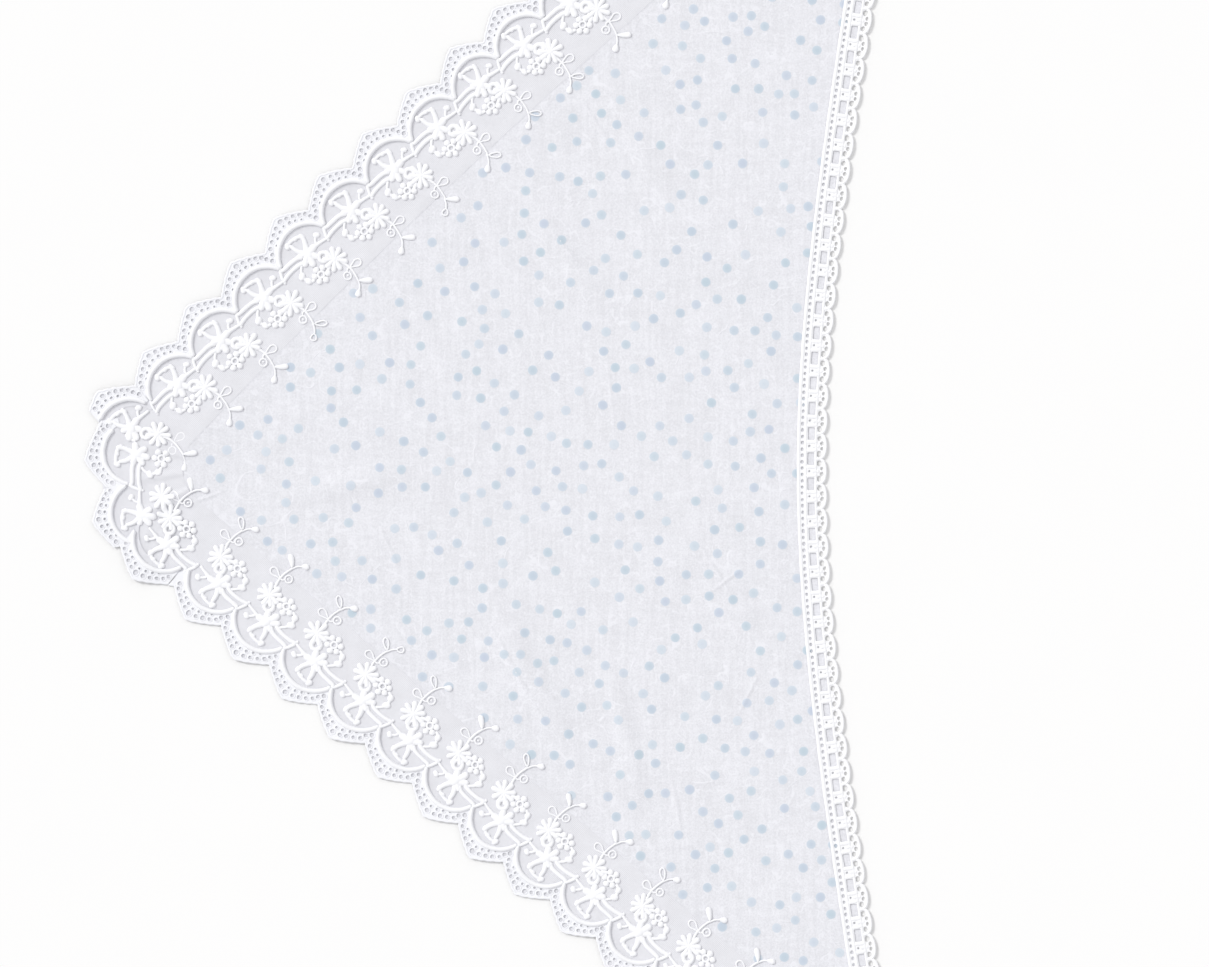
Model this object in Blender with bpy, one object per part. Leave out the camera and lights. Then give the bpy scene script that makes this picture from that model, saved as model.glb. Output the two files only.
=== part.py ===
"""A lace-edged kerchief, laid out flat with its point to the left and its long side to the right.

The cloth is a sheer triangle with woven dots. A wide scalloped lace runs down one short side, is eased
round the point and runs along the other short side. A narrow ladder lace covers the long side. The origin
is on the surface, under the middle of the outline. X runs across the kerchief and Y along its long side.
"""

import math

import bpy
import numpy as np
from mathutils import Vector
from mathutils.geometry import delaunay_2d_cdt

# Thickness of each piece, and the gap between pieces that lie on each other
CLOTH_THICK = 0.0010
LACE_THICK = 0.0010
LADDER_THICK = 0.0010
GAP = 0.0003

# The line through the notches of the wide lace: a bowed upper side, a round point, a straight lower side
POINT_START = (-0.1592, 0.0182)
POINT_HEADING = math.radians(226.3)
POINT_RADIUS = 0.0529
POINT_TURN = math.radians(93.7)
BOW_RADIUS = 2.98
BOW_LENGTH = 0.230
STRAIGHT_STRETCHES = (-0.5, 0.5)

# Wide lace, with depths measured inwards from the line through its notches
SCALLOP_PITCH = 0.02573
SCALLOP_DEPTH = 0.00625
SCALLOP_BLUNTNESS = 1.3
FIRST_CROWN = 0.0122
SCALLOPS_UP = 19
SCALLOPS_DOWN = 22
SCALLOP_PARTS = (-0.5, -0.36, -0.20, -0.07, 0.07, 0.20, 0.36)
LACE_DEPTH = 0.0433
LACE_LIFT_FROM = 0.0290
LACE_LIFT_TO = 0.0349
CLOTH_EDGE_DEPTH = 0.0357

# The padded arch over each scallop, a raised arc of a circle
ARCH_CROWN = 0.0018
ARCH_RADIUS = 0.0134
ARCH_HALF_ANGLE = math.radians(58)
ARCH_WIDTH = 0.0021
ARCH_HEIGHT = 0.0008
ARCH_STEPS = 7

# The long side, a shallow hollow between two nearly straight stretches
HOLLOW_X = 0.1201
HOLLOW_Y = -0.0192
HOLLOW_SLOPE = 0.181
HOLLOW_BEND = 0.1203

# Ladder lace, with widths measured outwards from its inner edge
LADDER_PITCH = 0.01065
LADDER_PHASE = 0.0103
LADDERS_DOWN = 32
LADDERS_UP = 34
LADDER_CROWN = 0.0132
LADDER_NOTCH = 0.0113
LADDER_BULGE = 0.8
LADDER_PARTS = (-0.5, -0.26, 0.0, 0.26)
LADDER_GAP_FROM = 0.0045
LADDER_GAP_TO = 0.0074
LADDER_GAP_LENGTH = 0.0054
CLOTH_UNDER_LADDER = 0.0080
LIFT_BEFORE_LACE = (0.018, 0.009)
GAP_CLEAR_OF_END = 0.004

# Soft ridges in the cloth: middle x and y, length, direction in degrees, height, half width
RIDGES = (
    (0.0070, -0.1030, 0.105, -62, 0.0013, 0.0080),
    (0.0480, -0.1290, 0.070, -78, 0.0010, 0.0070),
    (0.0880, -0.0640, 0.060, -42, 0.0009, 0.0070),
    (0.0230, 0.0710, 0.065, -58, 0.0010, 0.0075),
    (0.0560, 0.1130, 0.050, -54, 0.0008, 0.0070),
    (-0.0680, -0.0250, 0.060, 14, 0.0008, 0.0070),
)
RIDGE_STEPS = 7

# Shallow puckers where the wide lace is eased round the point: distance along it, height, half width
PUCKERS = (
    (0.0250, 0.0009, 0.0055),
    (0.0470, 0.0007, 0.0050),
    (0.0690, 0.0009, 0.0055),
)
PUCKER_FROM = 0.010
PUCKER_FULL = 0.022

# Spacing of the faces
CLOTH_FACE = 0.0135
CLOTH_SHORT_STEPS = 64
CLOTH_LONG_STEPS = 44
CLEAR_OF_EDGE = 0.0045
LACE_INNER_STEPS = 62
LACE_ROWS = (0.0195, LACE_LIFT_FROM, LACE_LIFT_TO)
LACE_END_STEPS = (0.004, 0.009)
TRIANGLES_INSIDE = 1
SAME_POINT = 1e-6


def clear_scene():
    for item in list(bpy.data.objects):
        bpy.data.objects.remove(item, do_unlink=True)


def smooth_step(value, start, end):
    share = min(max((value - start) / (end - start), 0.0), 1.0)
    return share * share * (3.0 - 2.0 * share)


def walk(point, heading, curvature, length):
    """The point and heading after a stretch of constant curvature."""
    if curvature == 0.0:
        ahead = (point[0] + length * math.cos(heading), point[1] + length * math.sin(heading))
        return ahead, heading
    turned = heading + curvature * length
    ahead = (
        point[0] + (math.sin(turned) - math.sin(heading)) / curvature,
        point[1] - (math.cos(turned) - math.cos(heading)) / curvature,
    )
    return ahead, turned


def lace_line(along):
    """Point and heading of the notch line, a distance past the start of the round point."""
    around = POINT_RADIUS * POINT_TURN
    if along < -BOW_LENGTH:
        point, heading = walk(POINT_START, POINT_HEADING, 1.0 / BOW_RADIUS, -BOW_LENGTH)
        return walk(point, heading, 0.0, along + BOW_LENGTH)
    if along < 0.0:
        return walk(POINT_START, POINT_HEADING, 1.0 / BOW_RADIUS, along)
    if along < around:
        return walk(POINT_START, POINT_HEADING, 1.0 / POINT_RADIUS, along)
    point, heading = walk(POINT_START, POINT_HEADING, 1.0 / POINT_RADIUS, around)
    return walk(point, heading, 0.0, along - around)


def lace_point(along, depth):
    """A point of the wide lace, a depth inwards from its notch line."""
    point, heading = lace_line(along)
    return point[0] - depth * math.sin(heading), point[1] + depth * math.cos(heading)


def scallop_depth(along):
    """Depth of the scalloped edge, negative because the scallops stand outwards."""
    turn = (along - FIRST_CROWN) / SCALLOP_PITCH
    off_crown = abs(turn - round(turn)) * 2.0
    return -SCALLOP_DEPTH * (1.0 - off_crown**SCALLOP_BLUNTNESS)


def hollow_x(y):
    """The long side: x of the ladder lace's inner edge at this y."""
    reach = math.hypot(HOLLOW_BEND, y - HOLLOW_Y)
    return HOLLOW_X + HOLLOW_SLOPE * (reach - HOLLOW_BEND)


def hollow_slope(y):
    return HOLLOW_SLOPE * (y - HOLLOW_Y) / math.hypot(HOLLOW_BEND, y - HOLLOW_Y)


def past_long_side(x, y):
    """Distance outwards past the ladder lace's inner edge."""
    return (x - hollow_x(y)) / math.hypot(1.0, hollow_slope(y))


def ladder_rows():
    """Lengths along the long side from the bottom of its hollow, and the y that each is at."""
    ys = np.linspace(HOLLOW_Y - 0.40, HOLLOW_Y + 0.40, 1601)
    xs = np.array([hollow_x(y) for y in ys])
    lengths = np.concatenate([[0.0], np.cumsum(np.hypot(np.diff(xs), np.diff(ys)))])
    return lengths - np.interp(HOLLOW_Y, ys, lengths), ys


LADDER_LENGTHS, LADDER_YS = ladder_rows()


def ladder_point(along, out):
    """A point of the ladder lace, a distance outwards from its inner edge."""
    y = float(np.interp(along, LADDER_LENGTHS, LADDER_YS))
    slope = hollow_slope(y)
    stretch = math.hypot(1.0, slope)
    return hollow_x(y) + out / stretch, y - out * slope / stretch


def crossing(depth_at, start, end):
    """Where a line of the wide lace meets the cloth's long edge, between start inside and end outside."""
    for _ in range(40):
        middle = 0.5 * (start + end)
        if past_long_side(*lace_point(middle, depth_at(middle))) < CLOTH_UNDER_LADDER:
            start = middle
        else:
            end = middle
    return start


def line_ends(depth_at):
    """The stretch of a line of the wide lace that lies inside the cloth's long edge."""
    first = crossing(depth_at, 0.0, -SCALLOPS_UP * SCALLOP_PITCH)
    last = crossing(depth_at, 0.1, 0.1 + SCALLOPS_DOWN * SCALLOP_PITCH)
    return first, last


def long_edge(start, end, steps):
    """Points between two ys along the cloth's long edge, without the ends."""
    points = []
    for step in range(1, steps):
        y = start + (end - start) * step / steps
        slope = hollow_slope(y)
        points.append((hollow_x(y) + CLOTH_UNDER_LADDER * math.hypot(1.0, slope), y))
    return points


def ridge_frame(ridge, x, y):
    """Distances along and across a ridge from its middle."""
    middle_x, middle_y, _, degrees, _, _ = ridge
    angle = math.radians(degrees)
    along = (x - middle_x) * math.cos(angle) + (y - middle_y) * math.sin(angle)
    across = (y - middle_y) * math.cos(angle) - (x - middle_x) * math.sin(angle)
    return along, across


def cloth_rise(x, y):
    """Height of the soft ridges in the cloth."""
    rise = 0.0
    for ridge in RIDGES:
        _, _, length, _, height, half_width = ridge
        along, across = ridge_frame(ridge, x, y)
        end = max(0.0, 1.0 - (2.0 * along / length) ** 2)
        side = max(0.0, 1.0 - (across / half_width) ** 2)
        rise += height * end * side * side
    return rise


def pucker_rise(along, depth):
    """Height of the puckers round the point, growing inwards from the arches."""
    rise = 0.0
    for middle, height, half_width in PUCKERS:
        side = max(0.0, 1.0 - ((along - middle) / half_width) ** 2)
        rise += height * side * side
    return rise * smooth_step(depth, PUCKER_FROM, PUCKER_FULL)


def lace_row(along, depth, rib=0.0):
    """A point of the wide lace with its underside and its top."""
    x, y = lace_point(along, depth)
    low = (CLOTH_THICK + GAP) * smooth_step(depth, LACE_LIFT_FROM, LACE_LIFT_TO)
    low += pucker_rise(along, depth)
    return x, y, low, low + LACE_THICK + rib


def inside(x, y, outline):
    """Whether a point is inside a closed outline."""
    odd = False
    for a, b in zip(outline, outline[1:] + outline[:1]):
        if (a[1] > y) != (b[1] > y) and x < a[0] + (y - a[1]) * (b[0] - a[0]) / (b[1] - a[1]):
            odd = not odd
    return odd


def triangles(loops, extra):
    """Delaunay triangles inside the first loop and outside the gaps, the other loops, as rows of point numbers."""
    rows = [row for loop in loops for row in loop] + extra
    edges = []
    gap_of = [0] * len(rows)
    start = 0
    for number, loop in enumerate(loops):
        count = len(loop)
        edges += [(start + i, start + (i + 1) % count) for i in range(count)]
        gap_of[start : start + count] = [number] * count
        start += count
    flat = [Vector((row[0], row[1])) for row in rows]
    made = delaunay_2d_cdt(flat, edges, [], TRIANGLES_INSIDE, SAME_POINT)
    numbers = [origins[0] for origins in made[3]]
    faces = [[numbers[i] for i in face] for face in made[2]]
    # The corners of a triangle inside a gap all lie on that gap's loop
    return rows, [face for face in faces if len({gap_of[i] for i in face}) > 1 or gap_of[face[0]] == 0]


def sheet(name, loops, top_extra, under_extra, material):
    """A closed sheet from rows of x, y, underside and top. Its two faces share the points of the loops."""
    top_rows, top_faces = triangles(loops, top_extra)
    under_rows, under_faces = triangles(loops, under_extra)
    points = [(row[0], row[1], row[3]) for row in top_rows]
    below = len(points)
    points += [(row[0], row[1], row[2]) for row in under_rows]
    faces = [tuple(face) for face in top_faces]
    faces += [tuple(below + i for i in reversed(face)) for face in under_faces]
    directed = {(face[i], face[(i + 1) % 3]) for face in top_faces for i in range(3)}
    for a, b in sorted(directed):
        if (b, a) not in directed:
            faces.append((below + a, below + b, b, a))
    mesh = bpy.data.meshes.new(name)
    mesh.from_pydata(points, [], faces)
    mesh.shade_smooth()
    mesh.set_sharp_from_angle(angle=math.radians(50))
    mesh.materials.append(material)
    item = bpy.data.objects.new(name, mesh)
    bpy.context.scene.collection.objects.link(item)
    return item


def finish(name, colour, roughness, alpha):
    material = bpy.data.materials.new(name)
    material.use_nodes = True
    shader = material.node_tree.nodes["Principled BSDF"]
    shader.inputs["Base Color"].default_value = (*colour, 1.0)
    shader.inputs["Roughness"].default_value = roughness
    shader.inputs["Metallic"].default_value = 0.0
    shader.inputs["Alpha"].default_value = alpha
    return material


def far_from(x, y, others, distance):
    return all(math.hypot(x - other[0], y - other[1]) > distance for other in others)


def ridge_points():
    """Crest and foot points along each ridge, so that the faces follow it."""
    points = []
    for middle_x, middle_y, length, degrees, _, half_width in RIDGES:
        angle = math.radians(degrees)
        for step in range(RIDGE_STEPS):
            along = length * (step / (RIDGE_STEPS - 1) - 0.5)
            for across in (-half_width, 0.0, half_width):
                x = middle_x + along * math.cos(angle) - across * math.sin(angle)
                y = middle_y + along * math.sin(angle) + across * math.cos(angle)
                points.append((x, y))
    return points


def build_cloth(material):
    """The sheer triangle, with its short edges under the wide lace and its long edge under the ladder."""
    first, last = line_ends(lambda along: CLOTH_EDGE_DEPTH)
    outline = []
    for step in range(CLOTH_SHORT_STEPS + 1):
        along = first + (last - first) * step / CLOTH_SHORT_STEPS
        outline.append(lace_point(along, CLOTH_EDGE_DEPTH))
    outline += long_edge(outline[-1][1], outline[0][1], CLOTH_LONG_STEPS)
    inner = ridge_points()
    row_height = CLOTH_FACE * math.sqrt(0.75)
    low_y = min(point[1] for point in outline)
    high_y = max(point[1] for point in outline)
    low_x = min(point[0] for point in outline)
    high_x = max(point[0] for point in outline)
    grid = []
    for row in range(int((high_y - low_y) / row_height)):
        y = low_y + (row + 0.5) * row_height
        for column in range(int((high_x - low_x) / CLOTH_FACE) + 1):
            x = low_x + (column + 0.5 * (row % 2)) * CLOTH_FACE
            if inside(x, y, outline) and far_from(x, y, outline, CLEAR_OF_EDGE):
                grid.append((x, y))
    inner += [(x, y) for x, y in grid if far_from(x, y, inner, 0.5 * CLOTH_FACE)]
    loop = [(x, y, 0.0, CLOTH_THICK) for x, y in outline]
    extra = [(x, y, cloth_rise(x, y), CLOTH_THICK + cloth_rise(x, y)) for x, y in inner]
    return sheet("dotted_panel", [loop], extra, extra, material)


def lace_outline():
    """The wide lace's edge: scallops down and along, and back on its plain inner edge."""
    first, last = line_ends(scallop_depth)
    loop = [lace_row(first, scallop_depth(first))]
    for scallop in range(-SCALLOPS_UP, SCALLOPS_DOWN):
        for part in SCALLOP_PARTS:
            along = FIRST_CROWN + (scallop + part) * SCALLOP_PITCH
            if first + 0.001 < along < last - 0.001:
                loop.append(lace_row(along, scallop_depth(along)))
    loop.append(lace_row(last, scallop_depth(last)))
    inner_first, inner_last = line_ends(lambda along: LACE_DEPTH)
    loop += lace_end(last, inner_last)
    for step in range(LACE_INNER_STEPS + 1):
        along = inner_last + (inner_first - inner_last) * step / LACE_INNER_STEPS
        loop.append(lace_row(along, LACE_DEPTH))
    loop += reversed(lace_end(first, inner_first))
    return loop, (first, inner_first), (last, inner_last)


def row_end(depth, outer, inner):
    """Where a row of the wide lace is cut off, between the ends of its outer and inner edges."""
    return crossing(lambda along: depth, inner - 0.5 * (outer - inner), outer)


def lace_end(outer, inner):
    """Points where the wide lace is cut off along the long side, at the depths of its rows."""
    depths = (ARCH_CROWN, 0.5 * LACE_DEPTH, LACE_LIFT_FROM, LACE_LIFT_TO)
    return [lace_row(row_end(depth, outer, inner), depth) for depth in depths]


def lift_ends(outer, inner):
    """Close points along the fold over the cloth's edge, just inside the cut-off end."""
    rows = []
    for depth in (LACE_LIFT_FROM, LACE_LIFT_TO):
        for back in LACE_END_STEPS:
            along = row_end(depth, outer, inner) + math.copysign(back, inner - outer)
            rows.append(lace_row(along, depth))
    return rows


def arch_rows(crown):
    """Foot, crest and foot points of one raised arch."""
    rows = []
    for step in range(ARCH_STEPS):
        angle = ARCH_HALF_ANGLE * (2.0 * step / (ARCH_STEPS - 1) - 1.0)
        for side, rib in ((-0.5, 0.0), (0.0, ARCH_HEIGHT), (0.5, 0.0)):
            radius = ARCH_RADIUS + side * ARCH_WIDTH
            along = crown + radius * math.sin(angle)
            depth = ARCH_CROWN + ARCH_RADIUS - radius * math.cos(angle)
            rows.append(lace_row(along, depth, rib))
    return rows


def build_wide_lace(material):
    """The scalloped lace, one strip from corner to corner round the point."""
    loop, up_end, down_end = lace_outline()
    plain = lift_ends(*up_end) + lift_ends(*down_end)
    for scallop in range(-SCALLOPS_UP, SCALLOPS_DOWN):
        for part in (-0.25, 0.25):
            for depth in LACE_ROWS:
                plain.append(lace_row(FIRST_CROWN + (scallop + part) * SCALLOP_PITCH, depth))
    for middle, _, half_width in PUCKERS:
        for depth in LACE_ROWS:
            for across in (-half_width, 0.0, half_width):
                plain.append(lace_row(middle + across, depth))
    arches = []
    for scallop in range(-SCALLOPS_UP, SCALLOPS_DOWN):
        crown = FIRST_CROWN + scallop * SCALLOP_PITCH
        if up_end[0] + SCALLOP_PITCH < crown < down_end[0] - SCALLOP_PITCH:
            arches += arch_rows(crown)
    room = [row for row in plain if past_long_side(row[0], row[1]) < CLOTH_UNDER_LADDER - 0.003]
    arches = [row for row in arches if past_long_side(row[0], row[1]) < 0.0]
    return sheet("scalloped_lace", [loop], room + arches, room, material)


def leg_depth(x, y):
    """Depth of a point inside the nearer of the wide lace's two straight stretches."""
    depths = []
    for far in STRAIGHT_STRETCHES:
        point, heading = lace_line(far)
        depths.append((y - point[1]) * math.cos(heading) - (x - point[0]) * math.sin(heading))
    return min(depths)


def ladder_row(along, out):
    """A point of the ladder lace, lifted where it crosses the wide lace near each corner."""
    x, y = ladder_point(along, out)
    start, end = LIFT_BEFORE_LACE
    low = CLOTH_THICK + GAP
    low += (LACE_THICK + GAP) * smooth_step(LACE_DEPTH - leg_depth(x, y), -start, -end)
    return x, y, low, low + LADDER_THICK


def ladder_end(out, start, end):
    """How far the ladder lace runs at this width, to a slant in line with the scallops' crowns."""
    for _ in range(40):
        middle = 0.5 * (start + end)
        if leg_depth(*ladder_point(middle, out)) > -SCALLOP_DEPTH:
            start = middle
        else:
            end = middle
    return start


def ladder_edge(rows):
    """One long edge of the ladder lace from rows of along and out, cut at both slanted ends."""
    out = rows[0][1]
    low = ladder_end(out, 0.0, -LADDERS_DOWN * LADDER_PITCH - 0.05)
    high = ladder_end(out, 0.0, LADDERS_UP * LADDER_PITCH + 0.05)
    kept = [row for row in rows if low + 0.001 < row[0] < high - 0.001]
    return [ladder_row(low, out)] + [ladder_row(*row) for row in kept] + [ladder_row(high, out)]


def build_ladder_lace(material):
    """The narrow lace with its row of rectangular gaps and its small scallops."""
    outer = []
    inner = []
    gaps = []
    half_gap = 0.5 * LADDER_GAP_LENGTH
    corners = (
        (-half_gap, LADDER_GAP_FROM),
        (half_gap, LADDER_GAP_FROM),
        (half_gap, LADDER_GAP_TO),
        (-half_gap, LADDER_GAP_TO),
    )
    for ladder in range(-LADDERS_DOWN, LADDERS_UP + 1):
        crown = LADDER_PHASE + ladder * LADDER_PITCH
        for part in LADDER_PARTS:
            bulge = math.cos(math.pi * part) ** LADDER_BULGE
            out = LADDER_NOTCH + (LADDER_CROWN - LADDER_NOTCH) * bulge
            outer.append((crown + part * LADDER_PITCH, out))
        middle = crown - 0.5 * LADDER_PITCH
        inner.append((middle, 0.0))
        gap = [ladder_row(middle + along, out) for along, out in corners]
        if all(leg_depth(row[0], row[1]) > GAP_CLEAR_OF_END - SCALLOP_DEPTH for row in gap):
            gaps.append(gap)
    loop = ladder_edge(outer) + ladder_edge(inner)[::-1]
    return sheet("narrow_lace", [loop] + gaps, [], [], material)


def main():
    clear_scene()
    build_cloth(finish("sheer cloth", (0.80, 0.82, 0.87), 0.85, 0.8))
    build_wide_lace(finish("white embroidery", (0.90, 0.91, 0.94), 0.6, 1.0))
    build_ladder_lace(finish("white lace yarn", (0.92, 0.93, 0.95), 0.65, 1.0))


main()
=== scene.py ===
"""The dressed lace-edged kerchief: sheer dotted cloth, embroidered scalloped lace and ladder lace.

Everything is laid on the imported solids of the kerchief, in metres. X runs from the point to the long side,
Y along the long side and Z up. One repeat of the wide lace is charted in steps of 0.42 mm: forward along
the lace, and inward from the tip of its scallop.
"""

import math
from collections import namedtuple

import bpy
import numpy as np
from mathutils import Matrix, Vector
from mathutils.geometry import delaunay_2d_cdt


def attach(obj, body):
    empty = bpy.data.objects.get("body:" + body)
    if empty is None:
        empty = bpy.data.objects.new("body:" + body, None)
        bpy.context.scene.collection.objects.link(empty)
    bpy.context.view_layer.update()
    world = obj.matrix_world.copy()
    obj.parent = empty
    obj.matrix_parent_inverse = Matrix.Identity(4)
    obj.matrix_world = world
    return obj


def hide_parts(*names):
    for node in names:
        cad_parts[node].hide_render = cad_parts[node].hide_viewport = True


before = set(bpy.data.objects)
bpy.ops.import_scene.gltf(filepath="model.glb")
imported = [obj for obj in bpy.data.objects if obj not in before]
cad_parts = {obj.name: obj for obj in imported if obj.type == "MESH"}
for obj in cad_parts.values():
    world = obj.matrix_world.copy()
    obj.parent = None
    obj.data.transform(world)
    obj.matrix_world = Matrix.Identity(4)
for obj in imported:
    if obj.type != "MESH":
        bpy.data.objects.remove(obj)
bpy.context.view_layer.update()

bl_info = {
    "name": "Lace-Edged Kerchief",
    "version": (1, 0, 0),
    "blender": (4, 5, 0),
    "location": "3D View > Sidebar > Kerchief",
    "description": "Dresses the solids of a kerchief with sheer cloth, embroidered lace and ladder lace",
    "category": "Object",
}

MM = 0.001

# The solids' sizes, which every piece here follows
CLOTH_THICK = 0.0010
LACE_THICK = 0.0010
GAP = 0.0003
POINT_START = (-0.1592, 0.0182)
POINT_HEADING = math.radians(226.3)
POINT_RADIUS = 0.0529
POINT_TURN = math.radians(93.7)
AROUND_POINT = POINT_RADIUS * POINT_TURN
BOW_RADIUS = 2.98
BOW_LENGTH = 0.230
SCALLOP_PITCH = 0.02573
SCALLOP_DEPTH = 0.00625
SCALLOP_BLUNTNESS = 1.3
FIRST_CROWN = 0.0122
SCALLOPS_UP = 19
SCALLOPS_DOWN = 22
LACE_DEPTH = 0.0433
LACE_LIFT_FROM = 0.0290
LACE_LIFT_TO = 0.0349
CLOTH_EDGE_DEPTH = 0.0357
HOLLOW_X = 0.1201
HOLLOW_Y = -0.0192
HOLLOW_SLOPE = 0.181
HOLLOW_BEND = 0.1203
LADDER_PITCH = 0.01065
LADDER_PHASE = 0.0103
LADDERS_DOWN = 32
LADDERS_UP = 34
LADDER_CROWN = 0.0132
LADDER_NOTCH = 0.0113
CLOTH_UNDER_LADDER = 0.0080
LIFT_BEFORE_LACE = (0.018, 0.009)

# How the cloth, the net and the ladder lace lie on the solids, in metres
EDGE_CURL = 0.0008
EDGE_CURL_FADES = (-0.014, 0.004)
ON_CLOTH = 0.00012
NET_ONTO_CLOTH = 0.0003
NET_START_AT_POINT = 0.0020
NET_FACE = 0.0019
NET_ROW = 0.0017
NET_FIRST_ROW = 0.0015
NET_LAST_ROW = 0.0006
NET_EDGE_MARGIN = 0.0010
FOLDS_START = (-0.006, 0.002)
FOLDS_END = (0.094, 0.104)
LONG_SIDE_MARGIN = 0.0012
LADDER_DROP = (0.0072, 0.0100)
LADDER_DROP_SHARE = 0.35
LADDER_RISE = 0.0006
LADDER_RISE_OVER = (0.0090, 0.0128)
LADDER_SHOWN_NOTCH = LADDER_NOTCH - 0.0004
LADDER_SHOWN_BULGE = LADDER_CROWN - 0.0001 - LADDER_NOTCH
LADDER_BLUNTNESS = 0.55
RIDGES = (  # middle x and y, length, direction in degrees, height, half width
    (0.0070, -0.1030, 0.105, -62, 0.0013, 0.0080),
    (0.0480, -0.1290, 0.070, -78, 0.0010, 0.0070),
    (0.0880, -0.0640, 0.060, -42, 0.0009, 0.0070),
    (0.0230, 0.0710, 0.065, -58, 0.0010, 0.0075),
    (0.0560, 0.1130, 0.050, -54, 0.0008, 0.0070),
    (-0.0680, -0.0250, 0.060, 14, 0.0008, 0.0070),
)
CREASES = (  # sharp little creases pressed into the cloth, in the same order
    (0.0011, -0.1017, 0.074, -61, 0.00050, 0.0011),
    (0.0110, -0.1160, 0.030, -50, 0.00035, 0.0010),
    (0.0860, -0.0610, 0.024, -56, 0.00040, 0.0011),
    (0.0905, -0.0655, 0.020, 38, 0.00028, 0.0010),
    (0.0225, 0.0750, 0.021, -51, 0.00040, 0.0010),
    (0.0355, 0.1275, 0.024, -57, 0.00035, 0.0010),
    (0.0480, 0.1700, 0.030, -72, 0.00028, 0.0012),
    (-0.1290, -0.0310, 0.020, 20, 0.00042, 0.0010),
    (-0.1284, -0.0008, 0.018, -9, 0.00030, 0.0010),
    (-0.0510, -0.0520, 0.030, -66, 0.00030, 0.0011),
    (0.0700, -0.1620, 0.036, -80, 0.00032, 0.0012),
    (0.1000, -0.1130, 0.022, 64, 0.00028, 0.0010),
    (0.0420, 0.0130, 0.034, -84, 0.00026, 0.0012),
    (0.0790, 0.0600, 0.020, -40, 0.00026, 0.0010),
)
CREASE_LINES = (-1.5, -0.9, -0.5, 0, 0.5, 0.9, 1.5)  # in half widths, where points lie across a crease
CREASE_STEP = 0.9 * MM
CREASE_CLEAR = 1.8
CREASE_EDGE_MARGIN = 0.0006
CLOTH_EDGE_MARGIN = 0.0008
CLOTH_ACROSS = (-0.16, 0.18)
CLOTH_ALONG = (-0.28, 0.28)
PUCKERS = (  # distance along the lace, height, half width
    (0.0250, 0.0009, 0.0055),
    (0.0470, 0.0007, 0.0050),
    (0.0690, 0.0009, 0.0055),
)
PUCKER_FROM = 0.010
PUCKER_FULL = 0.022
PUCKER_FADES = (0.028, LACE_DEPTH - 0.001)
DOT_THROWS = 400
DOT_CORNER = (-0.155, -0.28)
DOT_SPREAD = (0.33, 0.56)
DOTS_THIN_OUT = (0.0378, 0.0430)
DOTS_PAST_LONG_SIDE = 0.0012
DOT_LIFT = 0.00003
DOT_POINTS = 16
DOT_RINGS = (  # how far out, height, strength of the colour as a share, and how much less
    (0.50, 0.00006, 1.0, 0.0),
    (0.86, 0.00004, 0.72, 0.0),
    (1.0, 0.0, 1.0, 1.0),
)

# Heights over the net or the cloth, in metres
NET_UNDER_BAND = 0.00008
BAND_HEIGHTS = (0.00002, 0.00034)
RING_BASE = 0.00028
RIM_BASE = 0.00022
ARCH_BASE = 0.00012
STITCH_BASE = 0.00008
STITCH_BASE_UNDER = -0.00055
LADDER_THICK = 0.00035
LADDER_BASE = 0.00040
LADDER_EDGE_BASE = 0.00035

# How a shape is filled with triangles
TRIANGLES_INSIDE = 1
SAME_POINT = 1e-7

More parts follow.
